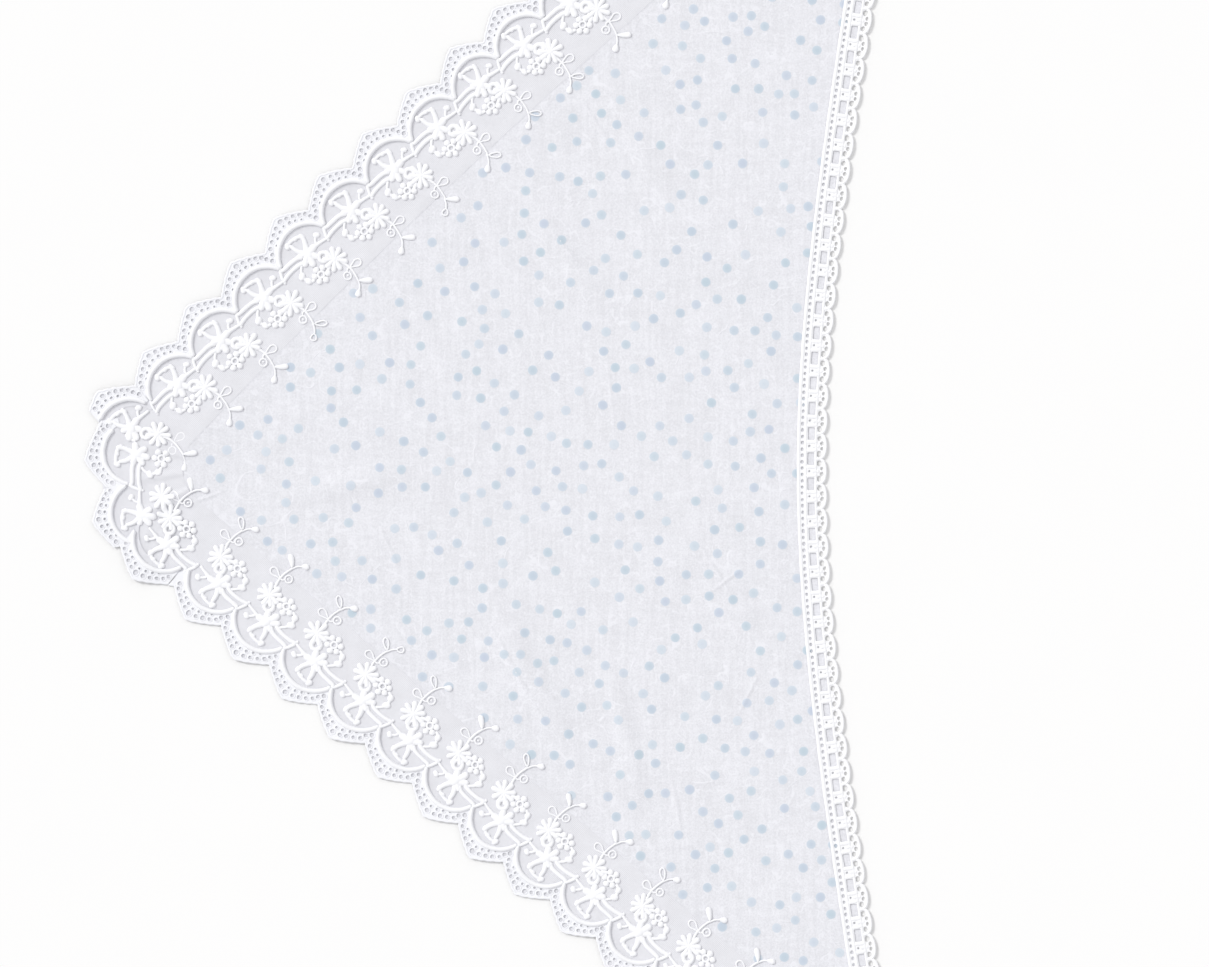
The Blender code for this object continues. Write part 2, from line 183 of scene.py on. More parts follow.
# The chart of one repeat of the wide lace
STEP = 0.00042
NOTCH_INWARD = SCALLOP_DEPTH / STEP
REPEAT = SCALLOP_PITCH / STEP
HALF_REPEAT = 0.5 * REPEAT
ARCH_MIDDLE = 51.3
ARCH_RADIUS = 32.0
ARCH_SPREAD = 70.0
CORDS = (  # name, points as (forward, inward), widths from start to end in steps, height in mm
    ("bar", ((30.2, 39.4), (33.6, 43.4), (37.4, 51.0)), (4.2, 3.8, 3.8), 0.80),
    ("outer stem", ((6.5, 48.6), (9.8, 45.8), (14.5, 44.2), (21, 43.6), (28.7, 43.2), (32.5, 42.2)),
     (5.4, 5.0, 4.8), 0.85),
    ("inner stem", ((3.5, 57.0), (8, 54.3), (14.2, 51.4), (21, 50.3), (29.8, 50.3), (38.6, 52.0)),
     (5.4, 5.0, 4.8), 0.85),
    ("knob", ((36.7, 50.6), (37.8, 55.0)), (4.0, 3.6), 0.60),
    ("side twig", ((-24.0, 51.6), (-17.0, 50.1), (-10, 48.8), (-3.5, 49.4)), (3.2, 3.8, 5.0, 6.4), 0.78),
    ("hook", ((-12.2, 49.3), (-12.9, 46.4), (-14.9, 43.9), (-17.6, 42.3)), (3.2, 3.0), 0.60),
    ("left horn", ((0.2, 47.5), (-3.3, 41.5), (-5.7, 36.8), (-6.5, 32.0)), (7.8, 5.8, 5.0), 0.88),
    ("horn arc", ((-6.4, 32.8), (-3.2, 30.2), (1.2, 28.9), (5.6, 28.4), (9.0, 28.8)), (4.4, 4.0, 4.0), 0.70),
    ("right horn", ((2.6, 47.5), (6.0, 41.0), (7.4, 36.0), (7.6, 31.0)), (7.4, 5.6, 4.6), 0.88),
    ("spur", ((7.4, 32.8), (8.8, 31.0), (10.0, 28.8)), (4.4, 3.8), 0.70),
    ("left petal", ((1.5, 49.5), (-4.6, 48.7), (-11.4, 48.0)), (6.4, 8.4, 7.4), 0.95),
    ("low left petal", ((0.6, 49.0), (-2.2, 54.5), (-4.6, 60.2)), (6.6, 8.0, 7.0), 0.92),
    ("low petal", ((1.0, 49.0), (3.4, 55.8), (5.6, 63.0)), (6.6, 8.2, 7.6), 0.98),
    ("low right petal", ((1.0, 49.0), (6.8, 52.6), (12.6, 56.2)), (6.6, 8.0, 7.0), 0.96),
    ("top right petal", ((1.0, 49.6), (5.8, 46.4), (10.8, 44.4)), (6.6, 7.6, 6.2), 0.92),
    ("link", ((-6.0, 73.4), (-2.2, 75.6), (1.2, 76.6)), (4.8, 4.2), 0.66),
    ("bud twig", ((14.2, 53.4), (18.4, 56.8), (21.4, 60.6)), (3.6, 3.2), 0.60),
    ("bud neck", ((22.2, 63.4), (21.2, 68.0)), (4.0, 3.8), 0.60),
    ("bud link", ((20.4, 71.4), (14.6, 73.4)), (3.6, 3.8), 0.60),
    ("sprig stem", ((-14.2, 79.0), (-15.8, 86.0), (-16.3, 91.6), (-15.6, 98.0), (-14.3, 103.0),
                     (-12.9, 107.2)), (3.8, 2.8, 2.5, 2.4), 0.60),
    ("end twig", ((-13.6, 104.8), (-10.6, 110.4), (-6.4, 114.2)), (2.3, 2.2), 0.52),
    ("curl twig", ((-16.3, 90.6), (-13.4, 90.6), (-11.6, 92.4)), (2.3, 2.1), 0.50),
)
BUDS = (  # name, middle as (forward, inward), length, width, direction in degrees, height in mm
    ("hook bud", (-18.8, 41.8), 7.0, 6.4, -30, 0.85),
    ("horn bud", (-6.8, 33.0), 7.2, 6.0, 100, 0.90),
    ("arc bud", (-0.6, 29.9), 5.6, 5.0, 0, 0.76),
    ("spur bud", (10.2, 29.4), 7.2, 6.4, 60, 0.88),
    ("blossom heart", (0.8, 49.4), 12.4, 11.6, 70, 1.15),
    ("bud one", (21.8, 61.8), 8.4, 7.6, 30, 0.95),
    ("bud two", (20.4, 69.8), 7.2, 7.0, 100, 0.90),
    ("curl seed", (-9.2, 95.2), 2.4, 2.2, 40, 0.45),
)
RINGS = (  # name, middle as (forward, inward), radii across and down, width of the cord, height in mm
    ("eye ring", (-6.9, 62.8), (4.6, 4.6), 5.0, 0.82),
    ("flower heart", (6.8, 74.0), (3.3, 3.2), 3.0, 0.80),
    ("curl", (-8.9, 95.3), (3.7, 3.8), 2.1, 0.52),
)
DAISY = (-13.8, 72.2)
DAISY_PETALS = (-121, -161, 159, 121, 77, 38, -1, -41, -82)
POSY = (6.8, 74.0)
POSY_PETALS = (-150, -90, -32, 26, 84, 142)
SIDE_LOOP = ((-16.6, 91.0), (-21.0, 89.4), (-25.4, 88.6), (-28.6, 90.6), (-28.9, 93.6),
             (-26.6, 95.8), (-23.2, 95.4), (-20.0, 93.2))
SIDE_LEAF = ((-13.6, 106.4), (-17.6, 110.4), (-24.0, 115.6))
END_BUD = ((-7.6, 113.4), (-0.6, 117.6))
EYELETS = (  # forward, inward, radius
    (-27.6, 23.8, 2.0), (-25.2, 19.0, 2.0), (-20.4, 15.2, 2.0), (-14.9, 12.0, 2.0), (-8.6, 9.2, 2.1),
    (-1.6, 7.2, 2.5), (6.0, 9.0, 2.1), (12.2, 12.0, 2.0), (18.2, 15.6, 2.0), (23.8, 19.6, 2.0),
    (26.4, 24.4, 2.0), (-19.0, 20.4, 1.1), (-13.6, 17.1, 1.4), (-7.6, 14.5, 1.5), (-1.0, 12.9, 1.3),
    (5.4, 14.6, 1.5), (11.6, 17.6, 1.4), (17.0, 21.2, 1.1),
)
NOTCH_EYELET = (HALF_REPEAT, 29.0, 2.3)
EDGE_BUMP = 0.3
EDGE_BUMP_STEPS = 7.3
DEEPER_NOTCH = 3.2
UNDER_FOLD = 9.0
FLOWERS_LIFTED = 0.35
AFTER_FOLD = 4
STARTS_EARLIER = 5.0
EYELET_CLEAR = 2.6
RING_OUT = 0.62
FOLD_EYELETS = ((-HALF_REPEAT, 29.0, 2.2), (-32.4, 22.4, 1.9), (HALF_REPEAT, 29.0, 2.2))
DAISY_REACH = 13.2
POSY_REACH = (3.6, 9.8)
STEMS_JOIN_AT = 34.0
STEMS_EASED_OVER = 28.0

# How far each repeat was eased when the lace was sewn on, in whole and half steps forward and inward: the
# whole repeat, and then its blossom, its daisy and posy, and its sprig against it
EASED = {
    -12: ((0, 0), (0, -1), (-1, -1), (-2, -3)),
    -9: ((4, -0.5), (0.5, -1.5), (-0.5, -2), (1.5, -4)),
    -8: ((1.5, -0.5), (0.5, -2), (1, -3.5), (-2, -5)),
    -7: ((1, 2), (0.5, -1.5), (-1, -2), (-3, -3.5)),
    -6: ((0.5, 2), (0, -1), (0, -1), (-2, -1)),
    -5: ((0.5, 2), (-1, -1), (-1.5, -1.5), (-4, -3.5)),
    -4: ((0, 1.5), (0, 0), (-1, -0.5), (-3.5, -2.5)),
    -3: ((1, 2.5), (0, -0.5), (-0.5, -0.5), (-2, -3.5)),
    -2: ((1.5, 1.5), (-1, -0.5), (-2, -0.5), (-5, -1)),
    -1: ((3.5, 2.5), (-2, -1.5), (-3.5, -2.5), (-5, -4)),
    0: ((0, 0), (1, 0), (3, 1.5), (1, 0)),
    4: ((0.5, 1), (1, -1), (0.5, -1.5), (-0.5, -1.5)),
    5: ((1, 1.5), (1, 0.5), (0.5, 0.5), (0.5, 1.5)),
    6: ((2.5, 2.5), (0.5, 0), (-1, 0.5), (1.5, 0)),
    7: ((3, 3), (1, 0), (1, -0.5), (2, -2.5)),
    8: ((3.5, 4), (1, -1), (1, -1), (1.5, -2)),
    9: ((3.5, 3), (0.5, -1), (-0.5, -1), (2, -1.5)),
    10: ((3, 1), (0.5, -0.5), (-1.5, -0.5), (0.5, 0)),
    11: ((0.5, 2), (0, -1), (-2, -1), (-1, -3.5)),
    12: ((-0.5, 3.5), (0, -1), (-3, -1.5), (-2, -3)),
    13: ((-3, 3.5), (0, 0), (-0.5, -0.5), (-0.5, -1.5)),
    16: ((0, 0), (0, -1), (-1, -1), (0, -1)),
}

# The repeats folded round the point. Edge and flowers lie as tip x and y and heading in degrees. The arch
# runs from and to an angle, and the band from and to a step. A lift may settle between two steps. Some
# parts are left out or lie under the net.
Fold = namedtuple("Fold", "edge flowers arch band lift settles left_out under")
TRUNK_PARTS = ("bar", "outer stem", "inner stem", "knob")
STEM_PARTS = TRUNK_PARTS + ("side twig", "hook", "bud twig", "bud neck", "bud link")
DAISY_PARTS = ("daisy", "posy", "flower heart", "link", "eye ring")
POSY_PARTS = TRUNK_PARTS + ("posy", "flower heart", "link", "bud twig", "bud one", "bud neck", "bud two",
                            "bud link")
SPRIG_PARTS = ("sprig stem", "end twig", "curl", "curl twig", "curl seed", "side loop", "side leaf",
               "end bud")
FOLDED = {
    0: Fold((-0.1739, 0.0139, 220), (-0.1746, 0.0129, 229), (-70, 29), (-34.0, 18.0), 0.0003, None,
            POSY_PARTS, ("curl", "curl twig", "curl seed", "side loop", "end twig", "end bud")),
    1: Fold((-0.1791, -0.0151, 279), (-0.1779, -0.0130, 273), (-56, 70), (-37.0, HALF_REPEAT), 0.0, None,
            SPRIG_PARTS + ("daisy", "eye ring", "side twig", "link"), ()),
    2: Fold((-0.1758, -0.0410, 281), (-0.1752, -0.0416, 281), (-70, 60), (-HALF_REPEAT, 29.0), 0.0, None,
            POSY_PARTS + SPRIG_PARTS + ("eye ring",), ()),
    3: Fold((-0.1588, -0.0649, 321), (-0.1578, -0.0663, 321), (-68, 70), (-HALF_REPEAT, HALF_REPEAT), 0.0006,
            (6.0, 28.0), (), ("side loop", "side leaf")),
}
EASED_RUNS = sorted(repeat for repeat in EASED if repeat not in FOLDED)

# The ladder lace, charted in the same steps: forward from a scallop's crown, outward from its inner edge
LADDER_STEPS = LADDER_PITCH / STEP
LADDER_PAST_CROWN = 28.0
# Holes have a step forward and outward, a radius and a stretch
LADDER_HOLES = tuple((part * LADDER_STEPS, 5.5, 1.6, 1.15) for part in (-0.375, -0.125, 0.125, 0.375))
CROWN_HOLE = (12.6, 1.15)
SCALLOP_HOLES = ((-7.9, 22.6, 2.4, 1.2), (-2.7, 25.2, 1.8, 1.25), (7.9, 22.6, 2.4, 1.2), (2.7, 25.2, 1.8, 1.25))
LADDER_GAP = ((-6.3, 11.2), (-5.6, 10.7), (5.6, 10.7), (6.3, 11.2), (6.3, 17.0), (5.6, 17.6), (-5.6, 17.6),
              (-6.3, 17.0))
LADDER_BARS = (  # two ends, widths, height in mm, step
    (((-4.4, 9.6), (-3.96, 20.4)), (3.9, 3.7), 0.38, 1.8),
    (((0.0, 14.6), (0.0, 20.4)), (3.9, 3.7), 0.38, 1.8),
    (((4.4, 9.6), (3.96, 20.4)), (3.9, 3.7), 0.38, 1.8),
    (((-1.8, 21.4), (1.8, 21.4)), (3.2, 3.2), 0.34, 1.6),
    (((12.4, 19.0), (12.9, 24.6)), (3.6, 3.0), 0.38, 1.6),
)
LADDER_ROWS = ((1.9, 3.2, 0.34), (8.7, 2.9, 0.34), (19.1, 2.5, 0.32))  # outward, width, height in mm
EDGE_CORD = ((2.3, 2.6, 2.7, 2.6, 2.3), 0.50)


def smooth_step(value, start, end):
    """0 before the start, 1 past the end, and a soft rise between."""
    share = np.clip((value - start) / (end - start), 0.0, 1.0)
    return share * share * (3.0 - 2.0 * share)


def together(*parts):
    """Points from rows of their parts."""
    return np.stack(parts, axis=-1)


def from_whole(turn):
    """How far a number of repeats is from the nearest whole number."""
    return turn - np.round(turn)


def on_arc(along, start, heading, radius):
    """Points and headings along an arc that turns left."""
    turned = heading + along / radius
    x = start[0] + radius * (np.sin(turned) - math.sin(heading))
    y = start[1] - radius * (np.cos(turned) - math.cos(heading))
    return x, y, turned


def on_straight(along, start, heading):
    """Points and headings along a straight line."""
    return start[0] + along * math.cos(heading), start[1] + along * math.sin(heading), heading + 0.0 * along


BOW_X, BOW_Y, BOW_HEADING = on_arc(-BOW_LENGTH, POINT_START, POINT_HEADING, BOW_RADIUS)
LOW_X, LOW_Y, LOW_HEADING = on_arc(AROUND_POINT, POINT_START, POINT_HEADING, POINT_RADIUS)


def lace_line(along):
    """Points and headings of the notch line, at distances past the start of the round point."""
    along = np.asarray(along, float)
    pieces = (
        on_straight(along + BOW_LENGTH, (BOW_X, BOW_Y), BOW_HEADING),
        on_arc(along, POINT_START, POINT_HEADING, BOW_RADIUS),
        on_arc(along, POINT_START, POINT_HEADING, POINT_RADIUS),
        on_straight(along - AROUND_POINT, (LOW_X, LOW_Y), LOW_HEADING),
    )
    which = np.searchsorted([-BOW_LENGTH, 0.0, AROUND_POINT], along)
    return tuple(np.choose(which, [piece[part] for piece in pieces]) for part in range(3))


def lace_point(along, depth):
    """Points of the wide lace at depths inwards from its notch line."""
    x, y, heading = lace_line(along)
    return x - depth * np.sin(heading), y + depth * np.cos(heading)


def straight_place(x, y, start, heading):
    """Distance along a line and depth to its left."""
    across, up = x - start[0], y - start[1]
    along = across * math.cos(heading) + up * math.sin(heading)
    return along, up * math.cos(heading) - across * math.sin(heading)


def arc_place(x, y, radius):
    """Distance along an arc from the start of the round point, and depth to its left."""
    middle_x = POINT_START[0] - radius * math.sin(POINT_HEADING)
    middle_y = POINT_START[1] + radius * math.cos(POINT_HEADING)
    turned = np.arctan2(x - middle_x, middle_y - y) - POINT_HEADING
    turned = (turned - 0.5 * POINT_TURN + math.pi) % (2.0 * math.pi) - math.pi + 0.5 * POINT_TURN
    return radius * turned, radius - np.hypot(x - middle_x, y - middle_y)


def lace_place(x, y):
    """Distance along the notch line and depth inwards from it, for points on or near the lace."""
    x, y = np.asarray(x, float), np.asarray(y, float)
    tip_along, tip_depth = arc_place(x, y, POINT_RADIUS)
    bow_along, bow_depth = arc_place(x, y, BOW_RADIUS)
    top_along, top_depth = straight_place(x, y, (BOW_X, BOW_Y), BOW_HEADING)
    low_along, low_depth = straight_place(x, y, (LOW_X, LOW_Y), LOW_HEADING)
    bow = bow_along > -BOW_LENGTH
    along = np.where(bow, bow_along, top_along - BOW_LENGTH)
    depth = np.where(bow, bow_depth, top_depth)
    tip = tip_along > 0.0
    along, depth = np.where(tip, tip_along, along), np.where(tip, tip_depth, depth)
    low = tip_along > AROUND_POINT
    return np.where(low, low_along + AROUND_POINT, along), np.where(low, low_depth, depth)


def scallop_depth(along):
    """Depth of the scalloped edge, negative because the scallops stand outwards."""
    turn = (along - FIRST_CROWN) / SCALLOP_PITCH
    return -SCALLOP_DEPTH * (1.0 - (np.abs(from_whole(turn)) * 2.0) ** SCALLOP_BLUNTNESS)


def hollow_x(y):
    """The long side: x of the ladder lace's inner edge."""
    return HOLLOW_X + HOLLOW_SLOPE * (np.hypot(HOLLOW_BEND, y - HOLLOW_Y) - HOLLOW_BEND)


def hollow_slope(y):
    """How much x changes with y along the long side."""
    return HOLLOW_SLOPE * (y - HOLLOW_Y) / np.hypot(HOLLOW_BEND, y - HOLLOW_Y)


def past_long_side(x, y):
    """Distance outwards past the ladder lace's inner edge."""
    return (x - hollow_x(y)) / np.hypot(1.0, hollow_slope(y))


LADDER_YS = np.linspace(HOLLOW_Y - 0.40, HOLLOW_Y + 0.40, 1601)
LADDER_LENGTHS = np.cumsum(np.hypot(np.diff(hollow_x(LADDER_YS)), np.diff(LADDER_YS)))
LADDER_LENGTHS = np.concatenate([[0.0], LADDER_LENGTHS])
LADDER_LENGTHS -= np.interp(HOLLOW_Y, LADDER_YS, LADDER_LENGTHS)


def ladder_point(along, out):
    """Points of the ladder lace at distances outwards from its inner edge."""
    y = np.interp(along, LADDER_LENGTHS, LADDER_YS)
    slope = hollow_slope(y)
    stretch = np.hypot(1.0, slope)
    return hollow_x(y) + out / stretch, y - out * slope / stretch


def last_inside(inside, start, end):
    """The last place from a start towards an end where a test still holds."""
    for _ in range(30):
        middle = 0.5 * (start + end)
        if inside(middle):
            start = middle
        else:
            end = middle
    return start


def row_ends(depth_at):
    """The stretch of a row of the wide lace that lies inside the cloth's long edge."""
    def inside(along):
        return past_long_side(*lace_point(along, depth_at(along))) < CLOTH_UNDER_LADDER
    reaches = ((0.0, -SCALLOPS_UP * SCALLOP_PITCH), (0.1, SCALLOPS_DOWN * SCALLOP_PITCH))
    return [last_inside(inside, start, start + reach) for start, reach in reaches]


def leg_depth(x, y):
    """Depth inside the nearer of the wide lace's two straight stretches."""
    _, top = straight_place(x, y, (BOW_X, BOW_Y), BOW_HEADING)
    _, low = straight_place(x, y, (LOW_X, LOW_Y), LOW_HEADING)
    return np.minimum(top, low)


def along_line(x, y, middle_x, middle_y, degrees):
    """Distances along and across a line through a point."""
    angle = math.radians(degrees)
    along = (x - middle_x) * math.cos(angle) + (y - middle_y) * math.sin(angle)
    return along, (y - middle_y) * math.cos(angle) - (x - middle_x) * math.sin(angle)


def ridge_rise(x, y, ridges):
    """Height of soft ridges, each fading to its ends and its sides."""
    rise = 0.0 * x
    for middle_x, middle_y, length, degrees, height, half_width in ridges:
        along, across = along_line(x, y, middle_x, middle_y, degrees)
        end = np.maximum(0.0, 1.0 - (2.0 * along / length) ** 2)
        side = np.maximum(0.0, 1.0 - (across / half_width) ** 2)
        rise = rise + height * end * side * side
    return rise


def cloth_height(x, y):
    """Height of the sheer cloth, the middle of its solid with the finer creases on it."""
    return 0.5 * CLOTH_THICK + ridge_rise(x, y, RIDGES) + ridge_rise(x, y, CREASES)


def net_height(x, y):
    """Height of the lace's net, which rises over the cloth's edge and puckers round the point."""
    along, depth = lace_place(x, y)
    rise = 0.0 * along
    for middle, height, half_width in PUCKERS:
        side = np.maximum(0.0, 1.0 - ((along - middle) / half_width) ** 2)
        rise = rise + height * side * side * smooth_step(depth, PUCKER_FROM, PUCKER_FULL)
    rise = rise * (1.0 - smooth_step(depth, *PUCKER_FADES))
    curl = 0.5 + 0.3 * np.sin(along * 97.0 + 0.6) + 0.2 * np.sin(along * 231.0)
    low = 0.4 * LACE_THICK + EDGE_CURL * np.maximum(curl, 0.0) * smooth_step(-depth, *EDGE_CURL_FADES)
    over = smooth_step(depth, LACE_LIFT_FROM, LACE_LIFT_TO)
    return low + (cloth_height(x, y) + ON_CLOTH - low) * over + rise


def ladder_height(x, y):
    """Height of the ladder lace's underside, on the cloth, near the floor past it, and over the wide lace."""
    start, end = LIFT_BEFORE_LACE
    past = past_long_side(x, y)
    low = (cloth_height(x, y) + ON_CLOTH) * (1.0 - LADDER_DROP_SHARE * smooth_step(past, *LADDER_DROP))
    low = low + LADDER_RISE * smooth_step(past, *LADDER_RISE_OVER)
    return low + (LACE_THICK + GAP) * smooth_step(LACE_DEPTH - leg_depth(x, y), -start, -end)


def eased_by(turn):
    """How far forward and inward the lace is eased, at a number of repeats along it."""
    whole = np.array([EASED[repeat][0] for repeat in EASED_RUNS])
    return tuple(np.interp(turn, EASED_RUNS, column) for column in whole.T)


def eased_parts(repeat):
    """How far a repeat's blossom, daisy and sprig are eased against the whole of it."""
    if repeat in FOLDED and repeat not in EASED:
        return ((0.0, 0.0),) * 3
    return EASED[repeat if repeat in EASED else min(EASED_RUNS, key=lambda known: abs(known - repeat))][1:]


def chart_place(repeat, edge=False):
    """A function that turns chart steps of one repeat into x, y and the height of the net there."""
    fold = FOLDED.get(repeat)

    def place(forward, inward):
        if fold:
            tip_x, tip_y, degrees = fold.edge if edge else fold.flowers
            angle = math.radians(degrees)
            across, deep = forward * STEP, inward * STEP
            x = tip_x + across * math.cos(angle) - deep * math.sin(angle)
            y = tip_y + across * math.sin(angle) + deep * math.cos(angle)
            lift = fold.lift * (1.0 if edge else FLOWERS_LIFTED)
            if fold.settles:
                lift = lift * (1.0 - smooth_step(forward, *fold.settles))
            return x, y, net_height(x, y) + lift
        ahead, deeper = eased_by(repeat + forward / REPEAT)
        along = FIRST_CROWN + repeat * SCALLOP_PITCH + (forward + ahead) * STEP
        x, y = lace_point(along, (inward + deeper - NOTCH_INWARD) * STEP)
        return x, y, net_height(x, y)
    return place


def ladder_place(forward, outward):
    """Turns chart steps of the ladder lace into x, y and the height of its underside."""
    x, y = ladder_point(LADDER_PHASE + forward * STEP, outward * STEP)
    return x, y, ladder_height(x, y)


# Cross-section of a padded cord, as shares of its half width and its height
SECTION = np.array([
    (-1.0, -0.15), (-0.98, 0.28), (-0.74, 0.74), (-0.28, 0.98),
    (0.28, 0.98), (0.74, 0.74), (0.98, 0.28), (1.0, -0.15),
])


def curve_through(points, closed):
    """A smooth curve through the points, as fine points and their distances along it."""
    points = np.asarray(points, float)
    if closed:
        ring = np.vstack([points[-1:], points, points[:2]])
    else:
        ring = np.vstack([2.0 * points[:1] - points[1:2], points, 2.0 * points[-1:] - points[-2:-1]])
    part = np.linspace(0.0, 1.0, 9)[:-1, None]
    fine = []
    for a, b, c, d in zip(ring, ring[1:], ring[2:], ring[3:]):
        bend = (2 * a - 5 * b + 4 * c - d) * part**2 + (3 * b - a - 3 * c + d) * part**3
        fine.append(0.5 * (2 * b + (c - a) * part + bend))
    fine.append(ring[-2:-1])
    fine = np.vstack(fine)
    gone = np.concatenate([[0.0], np.cumsum(np.hypot(*np.diff(fine, axis=0).T))])
    return fine, gone


class Yarn:
    """Gathers padded cords and makes one mesh of them."""

    def __init__(self):
        self.points, self.quads, self.threads = [], [], []
        self.count = 0

    def cord(self, points, widths, height, place, closed=False, step=1.6, base=0.0):
        """A padded cord in chart steps, with round ends. Its height is in millimetres."""
        fine, gone = curve_through(points, closed)
        length = gone[-1]
        first, last = 0.5 * widths[0], 0.5 * widths[-1]
        if closed:
            stops = np.linspace(0.0, length, max(9, round(length / step)) + 1)[:-1]
            roundness = np.ones(len(stops))
        else:
            shrink = min(1.0, length / (first + last))
            first, last = first * shrink, last * shrink
            caps = np.array([0.0, 0.10, 0.35, 0.68])
            middle = np.linspace(first, length - last, max(1, round((length - first - last) / step)) + 1)
            stops = np.unique(np.concatenate([caps * first, middle, length - caps * last]).round(6))
            toward = np.minimum(np.minimum(stops / first, (length - stops) / last), 1.0)
            roundness = np.maximum(np.sqrt(np.maximum(1.0 - (1.0 - toward) ** 2, 0.0)), 0.16)
        forward = np.interp(stops, gone, fine[:, 0])
        inward = np.interp(stops, gone, fine[:, 1])
        ahead = np.interp(stops + 0.2, gone, fine[:, 0]) - np.interp(stops - 0.2, gone, fine[:, 0])
        deeper = np.interp(stops + 0.2, gone, fine[:, 1]) - np.interp(stops - 0.2, gone, fine[:, 1])
        size = np.maximum(np.hypot(ahead, deeper), 1e-9)
        half = 0.5 * np.interp(stops / length, np.linspace(0.0, 1.0, len(widths)), widths) * roundness
        side = SECTION[None, :, 0] * half[:, None]
        x, y, ground = place(forward[:, None] - side * (deeper / size)[:, None],
                             inward[:, None] + side * (ahead / size)[:, None])
        rise = SECTION[None, :, 1] * (height * (0.35 + 0.65 * roundness))[:, None] * MM
        self.points.append(together(x, y, ground + base + rise).reshape(-1, 3))
        run = np.broadcast_to(stops[:, None] * STEP, side.shape)
        self.threads.append(together(run, side * STEP).reshape(-1, 2))
        rows, around = len(stops), len(SECTION)
        row = np.arange(rows if closed else rows - 1)[:, None] * around
        after = (row + around) % (rows * around)
        column = np.arange(around)[None, :]
        beside = (column + 1) % around
        quads = together(row + column, after + column, after + beside, row + beside).reshape(-1, 4)
        if not closed:
            lid = np.array([(0, 1, 2, 7), (2, 3, 6, 7), (3, 4, 5, 6)])
            quads = np.vstack([quads, lid, lid[:, ::-1] + (rows - 1) * around])
        self.quads.append(quads + self.count)
        self.count += rows * around

    def make(self, name):
        """One object of every cord so far, with its threads' directions in a UV map."""
        return new_piece(name, np.vstack(self.points), np.vstack(self.quads), np.vstack(self.threads))


def new_piece(name, points, faces, threads=None):
    """A smooth-shaded object from points and faces of one size."""
    faces = np.asarray(faces)
    mesh = bpy.data.meshes.new(name)
    mesh.vertices.add(len(points))
    mesh.vertices.foreach_set("co", np.asarray(points, np.float32).ravel())
    mesh.loops.add(faces.size)
    mesh.loops.foreach_set("vertex_index", faces.ravel().astype(np.int32))
    mesh.polygons.add(len(faces))
    mesh.polygons.foreach_set("loop_start", np.arange(0, faces.size, faces.shape[1], dtype=np.int32))
    if threads is not None:
        layer = mesh.uv_layers.new(name="threads")
        layer.data.foreach_set("uv", threads[faces.ravel()].astype(np.float32).ravel())
    mesh.update(calc_edges=True)
    mesh.validate()
    mesh.shade_smooth()
    item = bpy.data.objects.new(name, mesh)
    bpy.context.scene.collection.objects.link(item)
    return item


def turned_up(points, faces):
    """Triangles wound so that they face up, seen from above."""
    points = np.asarray(points, float)
    faces = np.asarray(faces)
    a, b, c = (points[faces[:, corner], :2] for corner in range(3))
    over = (b[:, 0] - a[:, 0]) * (c[:, 1] - a[:, 1]) - (b[:, 1] - a[:, 1]) * (c[:, 0] - a[:, 0]) > 0.0
    return np.where(over[:, None], faces, faces[:, ::-1])


def fill(loops, extra=()):
    """Delaunay triangles inside the first loop and outside the others."""
    flat, edges, hole_of = [], [], []
    for number, loop in enumerate(loops):
        start, count = len(flat), len(loop)
        edges += [(start + i, start + (i + 1) % count) for i in range(count)]
        flat += [Vector((float(p[0]), float(p[1]))) for p in loop]
        hole_of += [number] * count
    flat += [Vector((float(p[0]), float(p[1]))) for p in extra]
    hole_of = np.array(hole_of + [0] * len(extra))
    made = delaunay_2d_cdt(flat, edges, [], TRIANGLES_INSIDE, SAME_POINT)
    faces = np.array(made[2])
    hole = hole_of[[origins[0] for origins in made[3]]][faces]
    within = (hole[:, 0] > 0) & (hole[:, 0] == hole[:, 1]) & (hole[:, 0] == hole[:, 2])
    return np.array([tuple(p) for p in made[0]]), faces[~within]


def ring_of(radius, count, turn, uneven, dice):
    """A hand-worked little hole: an uneven ring of points round nothing."""
    angles = turn + np.arange(count) * 2.0 * math.pi / count
    radii = radius * (1.0 + uneven * (dice.random(count) - 0.5))
    return together(radii * np.cos(angles), radii * np.sin(angles))


def laid_out(flat, faces, place):
    """Places of charted points and the height there, and their triangles wound to face up."""
    x, y, ground = place(*flat.T)
    return x, y, ground, turned_up(together(x, y), faces)


def thick_plate(name, loops, place, low, high):
    """A closed thin plate between two heights over the ground, with its holes cut through."""
    flat, faces = fill(loops)
    x, y, ground, faces = laid_out(flat, faces, place)
    below = len(x)
    points = np.vstack([together(x, y, ground + height) for height in (high, low)])
    sides = np.concatenate([faces[:, [0, 1]], faces[:, [1, 2]], faces[:, [2, 0]]]).astype(np.int64)
    rim = sides[~np.isin(sides[:, 0] * below + sides[:, 1], sides[:, 1] * below + sides[:, 0])]
    start, end = rim.T
    walls = np.concatenate([together(start + below, end + below, end),
                            together(start + below, end, start)])
    item = new_piece(name, points, np.vstack([faces, faces[:, ::-1] + below, walls]),
                     np.vstack([flat, flat]) * STEP)
    item.data.set_sharp_from_angle(angle=math.radians(50))
    return item


def staggered(columns, rows, shift):
    """Points in rows, with every second row shifted along."""
    along, across = np.meshgrid(columns, rows)
    along[1::2] += shift
    return along.ravel(), across.ravel()


def keep_values(item, name, values):
    """Keeps a value at each point of a mesh, for its finish."""
    item.data.attributes.new(name, "FLOAT", "POINT").data.foreach_set("value", np.array(values, np.float32))


def join(name, parts):
    """Joins like pieces into one."""
    with bpy.context.temp_override(active_object=parts[0], selected_editable_objects=parts, object=parts[0]):
        bpy.ops.object.join()
    parts[0].name = name
    return parts[0]


